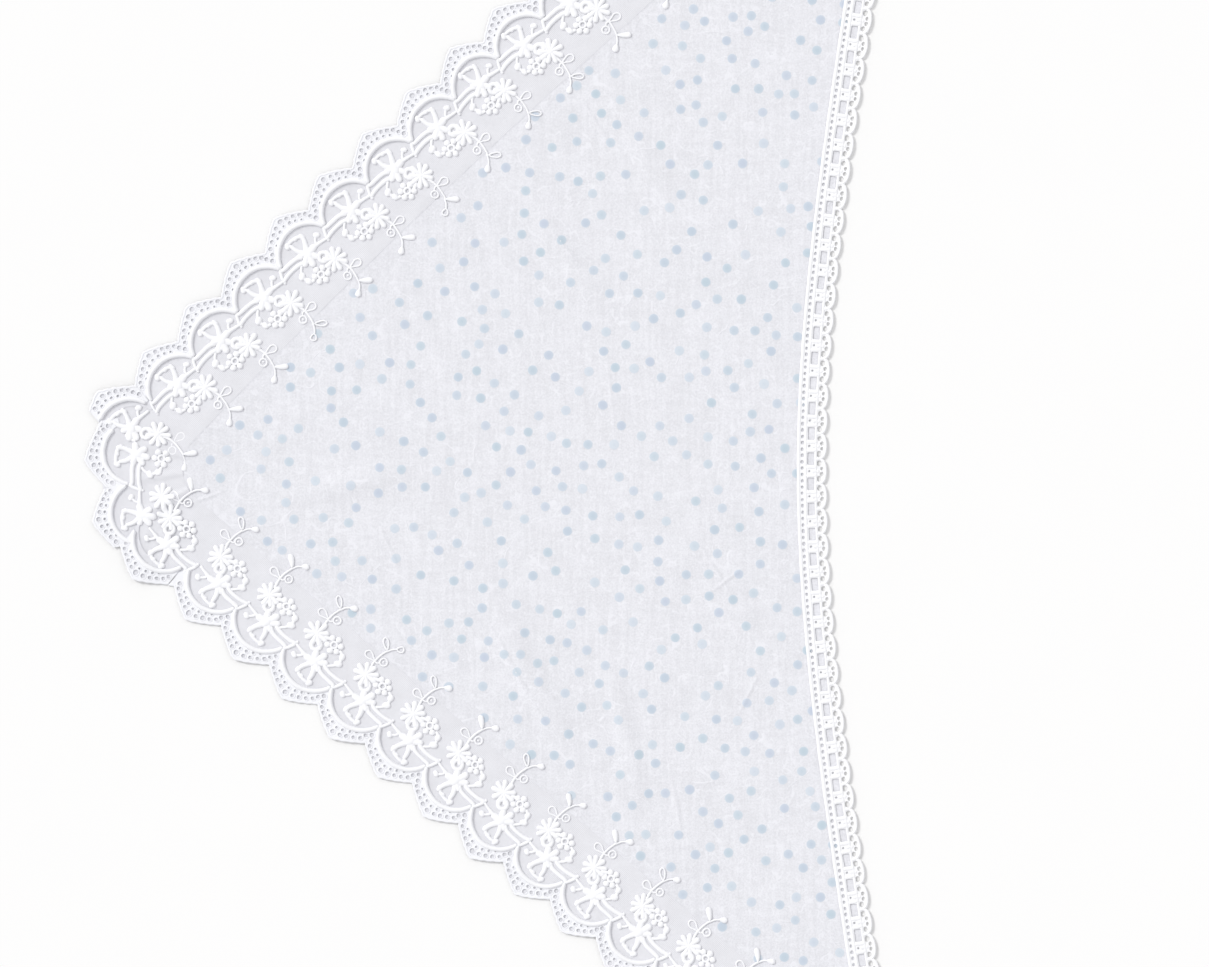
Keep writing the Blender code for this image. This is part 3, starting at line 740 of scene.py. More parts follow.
def fill_sockets(tree, node, sockets):
    """Links or fills a node's inputs."""
    for socket, value in dict(sockets).items():
        if isinstance(value, bpy.types.NodeSocket):
            tree.links.new(value, node.inputs[socket])
        else:
            node.inputs[socket].default_value = value
    return node


def add(tree, kind, sockets=(), **settings):
    """Adds a node, sets it up, and links or fills its inputs."""
    node = tree.nodes.new(kind)
    for key, value in settings.items():
        setattr(node, key, value)
    return fill_sockets(tree, node, sockets)


def maths(tree, operation, *values):
    """A Math node's output."""
    return add(tree, "ShaderNodeMath", enumerate(values), operation=operation).outputs[0]


def vector_maths(tree, operation, first, second):
    """A Vector Math node's output. To scale, the second value is a number."""
    sockets = {0: first, "Scale" if operation == "SCALE" else 1: second}
    return add(tree, "ShaderNodeVectorMath", sockets, operation=operation).outputs[0]


def ranged(tree, value, low, high, out_low=0.0, out_high=1.0):
    """A value moved from one range to another, held at its ends."""
    return add(tree, "ShaderNodeMapRange", enumerate((value, low, high, out_low, out_high))).outputs[0]


def noise(tree, vector, scale, detail, roughness=0.5, distortion=0.0):
    """A Noise Texture's outputs."""
    return add(tree, "ShaderNodeTexNoise", {"Vector": vector, "Scale": scale, "Detail": detail,
                                            "Roughness": roughness, "Distortion": distortion}).outputs


def mapped(tree, vector, **sockets):
    """A vector that is turned or stretched."""
    return add(tree, "ShaderNodeMapping", {"Vector": vector, **sockets}).outputs[0]


def kept_value(tree, name):
    """A value that the mesh keeps at each point."""
    return add(tree, "ShaderNodeAttribute", attribute_name=name).outputs["Fac"]


def bump(tree, height, strength, distance, **sockets):
    """A Bump node's normal."""
    sockets = {"Height": height, "Strength": strength, "Distance": distance, **sockets}
    return add(tree, "ShaderNodeBump", sockets).outputs[0]


def mixed(tree, share, first, second):
    """A colour between two colours."""
    first, second = (value if isinstance(value, bpy.types.NodeSocket) else (*value, 1.0)
                     for value in (first, second))
    return add(tree, "ShaderNodeMix", {"Factor": share, 6: first, 7: second}, data_type="RGBA").outputs[2]


def new_group(name, numbers, outputs):
    """An empty node group that takes a vector and some numbers, and gives numbers."""
    group = bpy.data.node_groups.new(name, "ShaderNodeTree")
    group.interface.new_socket("Vector", in_out="INPUT", socket_type="NodeSocketVector")
    for socket, default in numbers.items():
        made = group.interface.new_socket(socket, in_out="INPUT", socket_type="NodeSocketFloat")
        made.default_value = default
    for socket in outputs:
        group.interface.new_socket(socket, in_out="OUTPUT", socket_type="NodeSocketFloat")
    return group, group.nodes.new("NodeGroupInput").outputs, group.nodes.new("NodeGroupOutput")


def weave_group(name):
    """Plain weave of threads over and under each other, also used for net, turned by its vector."""
    group, given, out = new_group(name, {"Pitch": 0.0005, "Wander": 0.3}, ("Height", "Cover"))
    sway = noise(group, given["Vector"], 260.0, 1.0)["Color"]
    sway = vector_maths(group, "SUBTRACT", sway, (0.5, 0.5, 0.5))
    scaled = vector_maths(group, "SCALE", given["Vector"], maths(group, "DIVIDE", 1.0, given["Pitch"]))
    moved = vector_maths(group, "ADD", scaled, vector_maths(group, "SCALE", sway, given["Wander"]))
    parts = add(group, "ShaderNodeSeparateXYZ", {0: moved}).outputs
    waves = [maths(group, "SINE", maths(group, "MULTIPLY", parts[axis], math.pi)) for axis in (0, 1)]
    widest = maths(group, "MAXIMUM", *(maths(group, "ABSOLUTE", wave) for wave in waves))
    fill_sockets(group, out, {"Height": ranged(group, maths(group, "MULTIPLY", *waves), -1.0, 1.0),
                              "Cover": ranged(group, widest, 0.35, 0.85)})
    return group


def satin_group(name):
    """Threads of satin stitch laid across a cord, from the cord's own UV map."""
    group, given, out = new_group(name, {"Thread": 0.0003, "Slant": 0.3}, ("Height", "Shade"))
    parts = add(group, "ShaderNodeSeparateXYZ", {0: given["Vector"]}).outputs
    wander = maths(group, "MULTIPLY", noise(group, given["Vector"], 900.0, 1.0)["Fac"], 1.2)
    slanted = maths(group, "ADD", parts[0], maths(group, "MULTIPLY", parts[1], given["Slant"]))
    turns = maths(group, "ADD", maths(group, "DIVIDE", slanted, given["Thread"]), wander)
    ribs = maths(group, "ABSOLUTE", maths(group, "SINE", maths(group, "MULTIPLY", turns, math.pi)))
    each = add(group, "ShaderNodeTexWhiteNoise", {"W": maths(group, "FLOOR", turns)}, noise_dimensions="1D")
    fill_sockets(group, out, {"Height": maths(group, "POWER", ribs, 0.6), "Shade": each.outputs["Value"]})
    return group


def tone_group(name):
    """Slow and quick unevenness of tone, as in washed cotton."""
    group, given, out = new_group(name, {"Size": 0.02}, ("Tone", "Fleck"))
    slow = noise(group, given["Vector"], maths(group, "DIVIDE", 1.0, given["Size"]), 4.0, 0.6)["Fac"]
    quick = noise(group, given["Vector"], 1500.0, 2.0)["Fac"]
    fill_sockets(group, out, {"Tone": ranged(group, slow, 0.3, 0.7), "Fleck": ranged(group, quick, 0.3, 0.7)})
    return group


def crinkle_group(name):
    """Thin wandering lines, here and there, like the fine crinkles of washed crepe."""
    group, given, out = new_group(name, {"Scale": 60.0, "Line": 0.012}, ("Lines",))
    path = noise(group, given["Vector"], given["Scale"], 1.5, distortion=0.6)["Fac"]
    away = maths(group, "ABSOLUTE", maths(group, "SUBTRACT", path, 0.5))
    line = maths(group, "SUBTRACT", 1.0, maths(group, "DIVIDE", away, given["Line"]))
    moved = vector_maths(group, "ADD", given["Vector"], (3.0, 7.0, 0.0))
    patch = noise(group, moved, maths(group, "MULTIPLY", given["Scale"], 1.7), 1.0)["Fac"]
    shown = ranged(group, patch, 0.50, 0.64)
    fill_sockets(group, out, {"Lines": maths(group, "MULTIPLY", maths(group, "MAXIMUM", line, 0.0), shown)})
    return group


GROUP_MAKERS = {"thread weave": weave_group, "satin stitch": satin_group, "cotton tone": tone_group,
                "crinkle lines": crinkle_group}


def shared(tree, name, **sockets):
    """The outputs of a shared group, which is made on first use, with its own values."""
    group = bpy.data.node_groups.get(name) or GROUP_MAKERS[name](name)
    return add(tree, "ShaderNodeGroup", sockets, node_tree=group).outputs


def new_finish(name, roughness, gloss=0.25):
    """A material, its tree and shader, and places on the piece. Constants go on the shader's own sockets."""
    material = bpy.data.materials.new(name)
    material.use_nodes = True
    tree = material.node_tree
    shader = tree.nodes["Principled BSDF"]
    fill_sockets(tree, shader, {"Roughness": roughness, "Specular IOR Level": gloss})
    return material, tree, shader, tree.nodes.new("ShaderNodeTexCoord").outputs["Object"]


def darker(colour, share):
    """A colour made darker, or lighter with a share over one."""
    return tuple(share * part for part in colour)


def shaded(tree, blend, colour, low, high=1.0):
    """A colour between a darker and a lighter shade of it."""
    return mixed(tree, blend, darker(colour, low), darker(colour, high))


def cloth_finish(sizes):
    """Sheer plain weave with grain and faint streaks along its warp, with painted light and shade on its
    threads, weft ripples and crepe crinkles.
    """
    material, tree, shader, where = new_finish("sheer cotton", 0.85)
    weave = shared(tree, "thread weave", Vector=where, Pitch=sizes.thread_pitch, Wander=0.9)
    tone = shared(tree, "cotton tone", Vector=where, Size=0.016)
    streaks = noise(tree, mapped(tree, where, Scale=(1.0, 0.09, 1.0)), 620.0, 3.0)["Fac"]
    ripples = noise(tree, mapped(tree, where, Scale=(0.22, 1.0, 1.0)), 420.0, 2.0)["Fac"]
    grain = noise(tree, where, 1300.0, 2.0, 0.7)["Fac"]
    blend = 0.5
    # weave height and ripples: painted shade in the dips between threads and along the weft ripples, painted
    # light on their tops; streaks, grain and tone are the cloth's own
    for value, low, high, strength in (
            (streaks, 0.35, 0.65, 0.16), (ripples, 0.35, 0.65, 0.10), (grain, 0.30, 0.70, 0.42),
            (tone["Tone"], 0.0, 1.0, 0.12), (weave["Height"], 0.0, 1.0, 0.10)):
        blend = maths(tree, "ADD", ranged(tree, value, low, high, -strength, strength), blend)
    # painted highlight: lighter lines along the crepe crinkles
    crinkles = []
    for scale, line, strength in ((38.0, 0.009, 0.85), (95.0, 0.022, 0.74), (170.0, 0.035, 0.54)):
        crinkles.append(shared(tree, "crinkle lines", Vector=where, Scale=scale, Line=line)["Lines"])
        blend = maths(tree, "ADD", blend, maths(tree, "MULTIPLY", crinkles[-1], strength))
    cover = maths(tree, "ADD", ranged(tree, weave["Cover"], 0.0, 1.0, -0.10, 0.05), sizes.cloth_cover)
    crepe = bump(tree, maths(tree, "ADD", maths(tree, "ADD", streaks, ripples), crinkles[0]), 0.35, 0.0004)
    fill_sockets(tree, shader, {
        "Base Color": shaded(tree, blend, sizes.cloth_colour, 0.912, 1.066),
        "Alpha": maths(tree, "MINIMUM", cover, 1.0),
        "Normal": bump(tree, weave["Height"], 0.4, 0.00006, Normal=crepe),
    })
    return material


def dot_finish(sizes):
    """Woven blue dots, each a little stronger or paler, and greener or more violet, than the next."""
    material, tree, shader, where = new_finish("woven dots", 0.8)
    weave = shared(tree, "thread weave", Vector=where, Pitch=sizes.thread_pitch, Wander=0.6)
    woven = ranged(tree, weave["Height"], 0.0, 1.0, -0.12, 0.12)
    strength = maths(tree, "ADD", kept_value(tree, "tint"), woven)
    green, violet = (tuple(share * part for share, part in zip(shares, sizes.dot_colour))
                     for shares in ((0.965, 1.0, 0.985), (1.03, 0.985, 1.02)))
    full = mixed(tree, kept_value(tree, "hue"), green, violet)
    fill_sockets(tree, shader, {"Base Color": mixed(tree, strength, sizes.pale_dot, full),
                                "Normal": bump(tree, weave["Height"], 0.5, 0.00008)})
    return material


def net_finish(sizes):
    """Fine diamond net, opener where the cloth lies under it."""
    material, tree, shader, where = new_finish("fine net", 0.8)
    slanted = mapped(tree, where, Rotation=(0.0, 0.0, math.radians(45)))
    weave = shared(tree, "thread weave", Vector=slanted, Pitch=sizes.net_pitch, Wander=0.5)
    tone = shared(tree, "cotton tone", Vector=where, Size=0.010)
    blend = maths(tree, "ADD", *(maths(tree, "MULTIPLY", tone[name], part)
                                 for name, part in (("Tone", 0.6), ("Fleck", 0.4))))
    base = ranged(tree, kept_value(tree, "over_cloth"), 0.0, 1.0, sizes.net_cover, sizes.net_cover_on_cloth)
    cover = maths(tree, "MULTIPLY", base, ranged(tree, weave["Cover"], 0.0, 1.0, 0.86, 1.06))
    fill_sockets(tree, shader, {
        "Base Color": shaded(tree, blend, sizes.net_colour, 0.93, 1.04),
        "Alpha": maths(tree, "MINIMUM", cover, 1.0),
        "Normal": bump(tree, weave["Cover"], 0.3, 0.00008),
    })
    return material


def thread_finish(name, colour, shade, thread, slant, roughness, depth):
    """White thread laid in stitches, with its own direction, ribs and tone, and painted shade in the grooves
    between the ribs.
    """
    material, tree, shader, where = new_finish(name, roughness)
    along = add(tree, "ShaderNodeUVMap", uv_map="threads").outputs[0]
    satin = shared(tree, "satin stitch", Vector=along, Thread=thread, Slant=slant)
    tone = shared(tree, "cotton tone", Vector=where, Size=0.012)
    # painted shade: the ribs' height darkens the colour in the grooves between stitches and lightens the rib
    # tops
    blend = maths(tree, "MULTIPLY", satin["Height"], 0.45)
    for value, strength in ((satin["Shade"], 0.25), (tone["Tone"], 0.3)):
        blend = maths(tree, "ADD", blend, maths(tree, "MULTIPLY", value, strength))
    fill_sockets(tree, shader, {
        "Sheen Weight": 0.15,
        "Base Color": shaded(tree, blend, colour, shade),
        "Roughness": ranged(tree, satin["Shade"], 0.0, 1.0, roughness - 0.08, roughness + 0.08),
        "Normal": bump(tree, satin["Height"], 0.55, depth),
    })
    return material


def floor_finish(sizes):
    """Plain pale paper."""
    material, tree, shader, where = new_finish("pale paper", 0.9, 0.0)
    tone = shared(tree, "cotton tone", Vector=where, Size=0.05)["Tone"]
    fill_sockets(tree, shader, {"Base Color": shaded(tree, tone, sizes.floor_colour, 0.995)})
    return material


def dress(item, material):
    """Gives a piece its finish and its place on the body."""
    item.data.materials.clear()
    item.data.materials.append(material)
    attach(item, "root")
    return item


def number(text, description, default, **more):
    """A number in the panel."""
    return bpy.props.FloatProperty(name=text, description=description, default=default, **more)


def size(text, description, default, high=1.0):
    """A length in the panel."""
    return number(text, description, default, min=0.0, max=high, precision=5, unit="LENGTH")


def share(text, description, default):
    """A share of one in the panel."""
    return number(text, description, default, min=0.0, max=1.0, subtype="FACTOR")


def tint(text, description, default):
    """A colour in the panel."""
    return bpy.props.FloatVectorProperty(name=text, description=description, default=default,
                                         min=0.0, max=1.5, subtype="COLOR")


class KerchiefCloth(bpy.types.PropertyGroup):
    """Sheer cloth and its dots"""

    cloth_colour: tint("Cloth", "Colour of the sheer cloth", (0.803, 0.803, 0.842))
    cloth_cover: share("Cover", "How much of what is under it the cloth hides", 0.90)
    thread_pitch: size("Thread pitch", "Distance between threads of the cloth", 0.00042)
    face_size: size("Face size", "Size of the cloth's faces", 0.0019)
    dot_colour: tint("Dots", "Colour of the strongest dots", (0.525, 0.600, 0.677))
    pale_dot: tint("Pale dots", "Colour of the palest dots", (0.660, 0.705, 0.765))
    dot_width: size("Dot width", "Width of a woven dot", 0.0041)
    dot_apart: size("Dots apart", "Least distance between two dots", 0.0066)
    dot_count: bpy.props.IntProperty(name="Dots", description="How many dots are tried", default=660, min=0)


class KerchiefLace(bpy.types.PropertyGroup):
    """Wide embroidered lace"""

    thread_colour: tint("Thread", "Colour of the embroidery", (0.935, 0.934, 0.956))
    band_colour: tint("Edge band", "Colour of the band of eyelets", (0.885, 0.887, 0.920))
    net_colour: tint("Net", "Colour of the fine net", (0.820, 0.819, 0.858))
    net_cover: share("Net cover", "How much the net hides where nothing lies under it", 0.84)
    net_cover_on_cloth: share("Net cover on cloth", "How much the net hides where the cloth lies under it",
                              0.02)
    net_pitch: size("Net pitch", "Distance between threads of the net", 0.00062)
    thread: size("Thread", "Width of one stitch of embroidery thread", 0.00030)
    arch_width: size("Arch width", "Width of a padded arch", 0.0021)
    arch_height: number("Arch height", "Height of a padded arch, in mm", 1.35, min=0.1, max=3.0)
    fullness: share("Fullness", "How much of its charted width each stitched part fills", 0.87)
    wobble: number("Wobble", "How far stitches wander from the chart, in steps", 0.45, min=0.0, max=2.0)


class KerchiefLadder(bpy.types.PropertyGroup):
    """Narrow ladder lace"""

    yarn_colour: tint("Yarn", "Colour of the ladder lace", (0.950, 0.948, 0.965))
    yarn: size("Yarn", "Width of one strand of its yarn", 0.00036)
    lift: size("Lift", "Height of its flat part over what it rests on", 0.0001)


class KerchiefStage(bpy.types.PropertyGroup):
    """Floor, light and camera"""

    floor_colour: tint("Floor", "Colour of the floor", (0.882, 0.877, 0.871))
    floor_size: size("Floor size", "Side of the square floor", 3.2, high=20.0)
    key_strength: number("Key light", "Strength of the soft light from the left", 1.54, min=0.0)
    key_colour: tint("Key colour", "Colour of the soft light from the left", (1.0, 0.998, 0.975))
    key_angle: number("Key size", "Angle that the key light fills", math.radians(16), unit="ROTATION")
    fill_strength: number("Fill light", "Strength of the light from all round", 0.805, min=0.0)
    fill_colour: tint("Fill colour", "Colour of the light from all round", (0.978, 0.982, 1.0))
    lens: number("Lens", "Focal length, in mm", 200.0, min=20.0)
    view_width: size("View width", "Width of what the camera sees", 0.5078, high=5.0)
    view_middle: bpy.props.FloatVectorProperty(
        name="View middle", description="Where the camera points", size=3, default=(0.0394, -0.0247, 0.001),
        unit="LENGTH")


KEY_DIRECTION = (0.80, -0.60, -0.95)


class KERCHIEF_OT_stage(bpy.types.Operator):
    """Pale floor, soft light from the upper left, and a long lens straight above"""

    bl_idname = "kerchief.stage"
    bl_label = "Stage"

    def execute(self, context):
        sizes = context.scene.kerchief_stage
        half = 0.5 * sizes.floor_size
        corners = [(-half, -half, 0.0), (half, -half, 0.0), (half, half, 0.0), (-half, half, 0.0)]
        floor = new_piece("floor", corners, [(0, 1, 2, 3)])
        floor.data.materials.append(floor_finish(sizes))
        sun = bpy.data.lights.new("soft key", "SUN")
        sun.energy, sun.color, sun.angle = sizes.key_strength, sizes.key_colour, sizes.key_angle
        key = bpy.data.objects.new("soft key", sun)
        key.rotation_euler = Vector(KEY_DIRECTION).to_track_quat("-Z", "Y").to_euler()
        context.scene.collection.objects.link(key)
        world = bpy.data.worlds.new("studio")
        world.use_nodes = True
        fill_sockets(world.node_tree, world.node_tree.nodes["Background"],
                     {"Color": (*sizes.fill_colour, 1.0), "Strength": sizes.fill_strength})
        context.scene.world = world
        context.scene.view_settings.view_transform = "Standard"
        lens = bpy.data.cameras.new("camera")
        lens.lens, lens.sensor_width, lens.clip_end = sizes.lens, 36.0, 10.0
        camera = bpy.data.objects.new("camera", lens)
        away = sizes.view_width * sizes.lens / lens.sensor_width
        camera.location = Vector(sizes.view_middle) + Vector((0.0, 0.0, away))
        context.scene.collection.objects.link(camera)
        context.scene.camera = camera
        return {"FINISHED"}


def cloth_outline():
    """The cloth's edge: under the wide lace along both short sides, and under the ladder lace."""
    first, last = row_ends(lambda along: CLOTH_EDGE_DEPTH)
    x, y = lace_point(np.linspace(first, last, 340), CLOTH_EDGE_DEPTH)
    side = np.linspace(y[-1], y[0], 270)[1:-1]
    side_x = hollow_x(side) + CLOTH_UNDER_LADDER * np.hypot(1.0, hollow_slope(side))
    return together(np.concatenate([x, side_x]), np.concatenate([y, side]))


def within_cloth(x, y, margin):
    """Whether points lie inside the cloth's edge by a margin."""
    _, depth = lace_place(x, y)
    return (depth > CLOTH_EDGE_DEPTH + margin) & (past_long_side(x, y) < CLOTH_UNDER_LADDER - margin)


class KERCHIEF_OT_cloth(bpy.types.Operator):
    """The sheer cloth with its folds and creases"""

    bl_idname = "kerchief.cloth"
    bl_label = "Sheer Cloth"

    def execute(self, context):
        sizes = context.scene.kerchief_cloth
        outline = cloth_outline()
        face = sizes.face_size
        x, y = staggered(np.arange(*CLOTH_ACROSS, face), np.arange(*CLOTH_ALONG, face * math.sqrt(0.75)),
                         0.5 * face)
        kept = within_cloth(x, y, CLOTH_EDGE_MARGIN)
        lines = []
        for middle_x, middle_y, length, degrees, _, half_width in CREASES:
            along, across = along_line(x, y, middle_x, middle_y, degrees)
            kept &= (np.abs(along) > 0.5 * length) | (np.abs(across) > CREASE_CLEAR * half_width)
            angle = math.radians(degrees)
            along, across = np.meshgrid(np.arange(-0.5, 0.501, CREASE_STEP / length) * length,
                                        np.array(CREASE_LINES) * half_width)
            line_x = middle_x + along * math.cos(angle) - across * math.sin(angle)
            line_y = middle_y + along * math.sin(angle) + across * math.cos(angle)
            lines.append(together(line_x.ravel(), line_y.ravel()))
        extra = np.vstack([together(x[kept], y[kept])] + lines)
        extra = extra[within_cloth(*extra.T, CREASE_EDGE_MARGIN)]
        flat, faces = fill([outline], extra)
        faces = turned_up(flat, faces)
        points = np.column_stack([flat, cloth_height(flat[:, 0], flat[:, 1])])
        cloth = dress(new_piece("dotted_cloth", points, faces), cloth_finish(sizes))
        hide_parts("dotted_panel")
        return {"FINISHED"}


class KERCHIEF_OT_dots(bpy.types.Operator):
    """The dots woven into the cloth, scattered one by one"""

    bl_idname = "kerchief.dots"
    bl_label = "Woven Dots"

    def execute(self, context):
        sizes = context.scene.kerchief_cloth
        dice = np.random.default_rng(7)
        kept = np.empty((0, 2))
        for _ in range(sizes.dot_count):
            spots = dice.random((DOT_THROWS, 2)) * DOT_SPREAD + DOT_CORNER
            _, depth = lace_place(*spots.T)
            clear = dice.random(DOT_THROWS) < smooth_step(depth, *DOTS_THIN_OUT)
            spots = spots[clear & (past_long_side(*spots.T) < DOTS_PAST_LONG_SIDE)][:3]
            nearest = np.array([np.min(np.hypot(*(kept - spot).T), initial=1.0) for spot in spots])
            if nearest.max() > sizes.dot_apart:
                kept = np.vstack([kept, spots[nearest.argmax()]])
        around = DOT_POINTS
        angles = np.arange(around) * 2.0 * math.pi / around
        points, faces, tints, hues = [], [], [], []
        for spot in kept:
            start = len(points)
            radius = 0.5 * sizes.dot_width * (0.97 + 0.06 * dice.random())
            squeeze, turn = 0.97 + 0.06 * dice.random(), dice.random() * math.pi
            strength = math.sqrt(dice.random())
            edge = 1.0 + 0.05 * (dice.random(around) - 0.5)
            points.append((spot[0], spot[1], DOT_RINGS[0][1]))
            tints.append(strength + 0.25)
            for ring, height, part, less in DOT_RINGS:
                reach = ring * radius * edge
                across, up = reach * np.cos(angles), reach * squeeze * np.sin(angles)
                x = spot[0] + across * math.cos(turn) - up * math.sin(turn)
                y = spot[1] + across * math.sin(turn) + up * math.cos(turn)
                points += [(a, b, height) for a, b in zip(x, y)]
                tints += [part * strength - less] * around
            hues += [dice.random()] * (len(points) - start)
            for i in range(around):
                j = (i + 1) % around
                faces.append((start, start + 1 + i, start + 1 + j))
                for a in (start + 1, start + 1 + around):
                    b = a + around
                    faces += [(a + i, b + i, b + j), (a + i, b + j, a + j)]
        points = np.array(points)
        points[:, 2] += cloth_height(points[:, 0], points[:, 1]) + DOT_LIFT
        dots = dress(new_piece("woven_dots", points, faces), dot_finish(sizes))
        keep_values(dots, "tint", tints)
        keep_values(dots, "hue", hues)
        outline = cloth_outline()
        x, y = outline.T
        return {"FINISHED"}


def arch_inward(forward):
    """The chart's inward place of the arch's middle line, at steps forward from its crown."""
    return ARCH_MIDDLE - np.sqrt(ARCH_RADIUS**2 - np.clip(np.abs(forward), 0.0, 30.0) ** 2)


class KERCHIEF_OT_net(bpy.types.Operator):
    """The fine net that the embroidery is worked on"""

    bl_idname = "kerchief.net"
    bl_label = "Net"

    def outer_depth(self, along):
        """Depth where the net starts: at the arches, or near the scallops where the lace is folded."""
        turn = (along - FIRST_CROWN) / SCALLOP_PITCH
        ahead, deeper = eased_by(turn)
        forward = from_whole(turn - ahead / REPEAT) * REPEAT
        arch = (arch_inward(forward) + deeper - 1.5 - NOTCH_INWARD) * STEP
        folded = smooth_step(along, *FOLDS_START) * (1.0 - smooth_step(along, *FOLDS_END))
        return arch + folded * (NET_START_AT_POINT - arch)

    def stretch(self, outer_depth, inner_depth):
        """Points and faces of the net between two depths."""
        first, last = row_ends(outer_depth)
        outer = np.linspace(first, last, 1500)
        inner_first, inner_last = row_ends(lambda along: inner_depth)
        inner = np.linspace(inner_last, inner_first, 900)
        loop = np.vstack([np.column_stack(lace_point(outer, outer_depth(outer))),
                          np.column_stack(lace_point(inner, inner_depth))])
        rows = np.arange(NET_FIRST_ROW, inner_depth - NET_LAST_ROW, NET_ROW)
        along, depth = staggered(np.arange(first, last, NET_FACE), rows, 0.5 * NET_FACE)
        x, y = lace_point(along, depth)
        kept = past_long_side(x, y) < CLOTH_UNDER_LADDER - LONG_SIDE_MARGIN
        kept &= depth > outer_depth(along) + NET_EDGE_MARGIN
        flat, faces = fill([loop], together(x[kept], y[kept]))
        return np.column_stack([flat, net_height(flat[:, 0], flat[:, 1])]), turned_up(flat, faces)

    def execute(self, context):
        sizes = context.scene.kerchief_lace
        onto_cloth = CLOTH_EDGE_DEPTH + NET_ONTO_CLOTH
        outside, outside_faces = self.stretch(self.outer_depth, onto_cloth)
        inside, inside_faces = self.stretch(lambda along: onto_cloth + 0.0 * along, LACE_DEPTH)
        points, faces = np.vstack([outside, inside]), np.vstack([outside_faces, inside_faces + len(outside)])
        net = dress(new_piece("lace_net", points, faces), net_finish(sizes))
        keep_values(net, "over_cloth", np.repeat([0.0, 1.0], [len(outside), len(inside)]))
        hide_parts("scalloped_lace")
        return {"FINISHED"}


def edge_inward(forward, alone=False):
    """The chart's inward place of the scalloped edge, with a small bump at each eyelet."""
    turn = forward / REPEAT
    away = 2.0 * np.abs(turn if alone else from_whole(turn))
    bulge = EDGE_BUMP * np.cos(2.0 * math.pi * (forward + 1.6) / EDGE_BUMP_STEPS)
    return NOTCH_INWARD * away**SCALLOP_BLUNTNESS + DEEPER_NOTCH * away - bulge


def with_notches(steps, start, end, clear, slack=0.0):
    """Steps along the band, with the notches put in and the steps close to them taken out."""
    steps = steps[np.abs(np.abs(from_whole(steps / REPEAT)) - 0.5) > clear]
    notches = np.arange(math.floor(start / REPEAT) - 1, math.ceil(end / REPEAT) + 1) * REPEAT + HALF_REPEAT
    notches = notches[(notches > start - slack) & (notches < end + slack)]
    return np.unique(np.concatenate([steps, notches, [start, end]]))


def band_ends(repeat):
    """Where the edge band of one repeat starts and ends, in steps forward."""
    return FOLDED[repeat].band if repeat in FOLDED else (-HALF_REPEAT, HALF_REPEAT)


def shown_repeats():
    """The repeats of the wide lace between the two corners."""
    first, last = row_ends(scallop_depth)
    low = math.ceil((first - FIRST_CROWN) / SCALLOP_PITCH - 0.5)
    high = math.floor((last - FIRST_CROWN) / SCALLOP_PITCH + 0.5)
    return range(low, high + 1)


def on_kerchief(place, forward, inward, margin=0.0):
    """Whether a point of the chart lies inside the long side."""
    x, y, _ = place(np.float64(forward), np.float64(inward))
    return past_long_side(x, y) < CLOTH_UNDER_LADDER - LONG_SIDE_MARGIN - margin


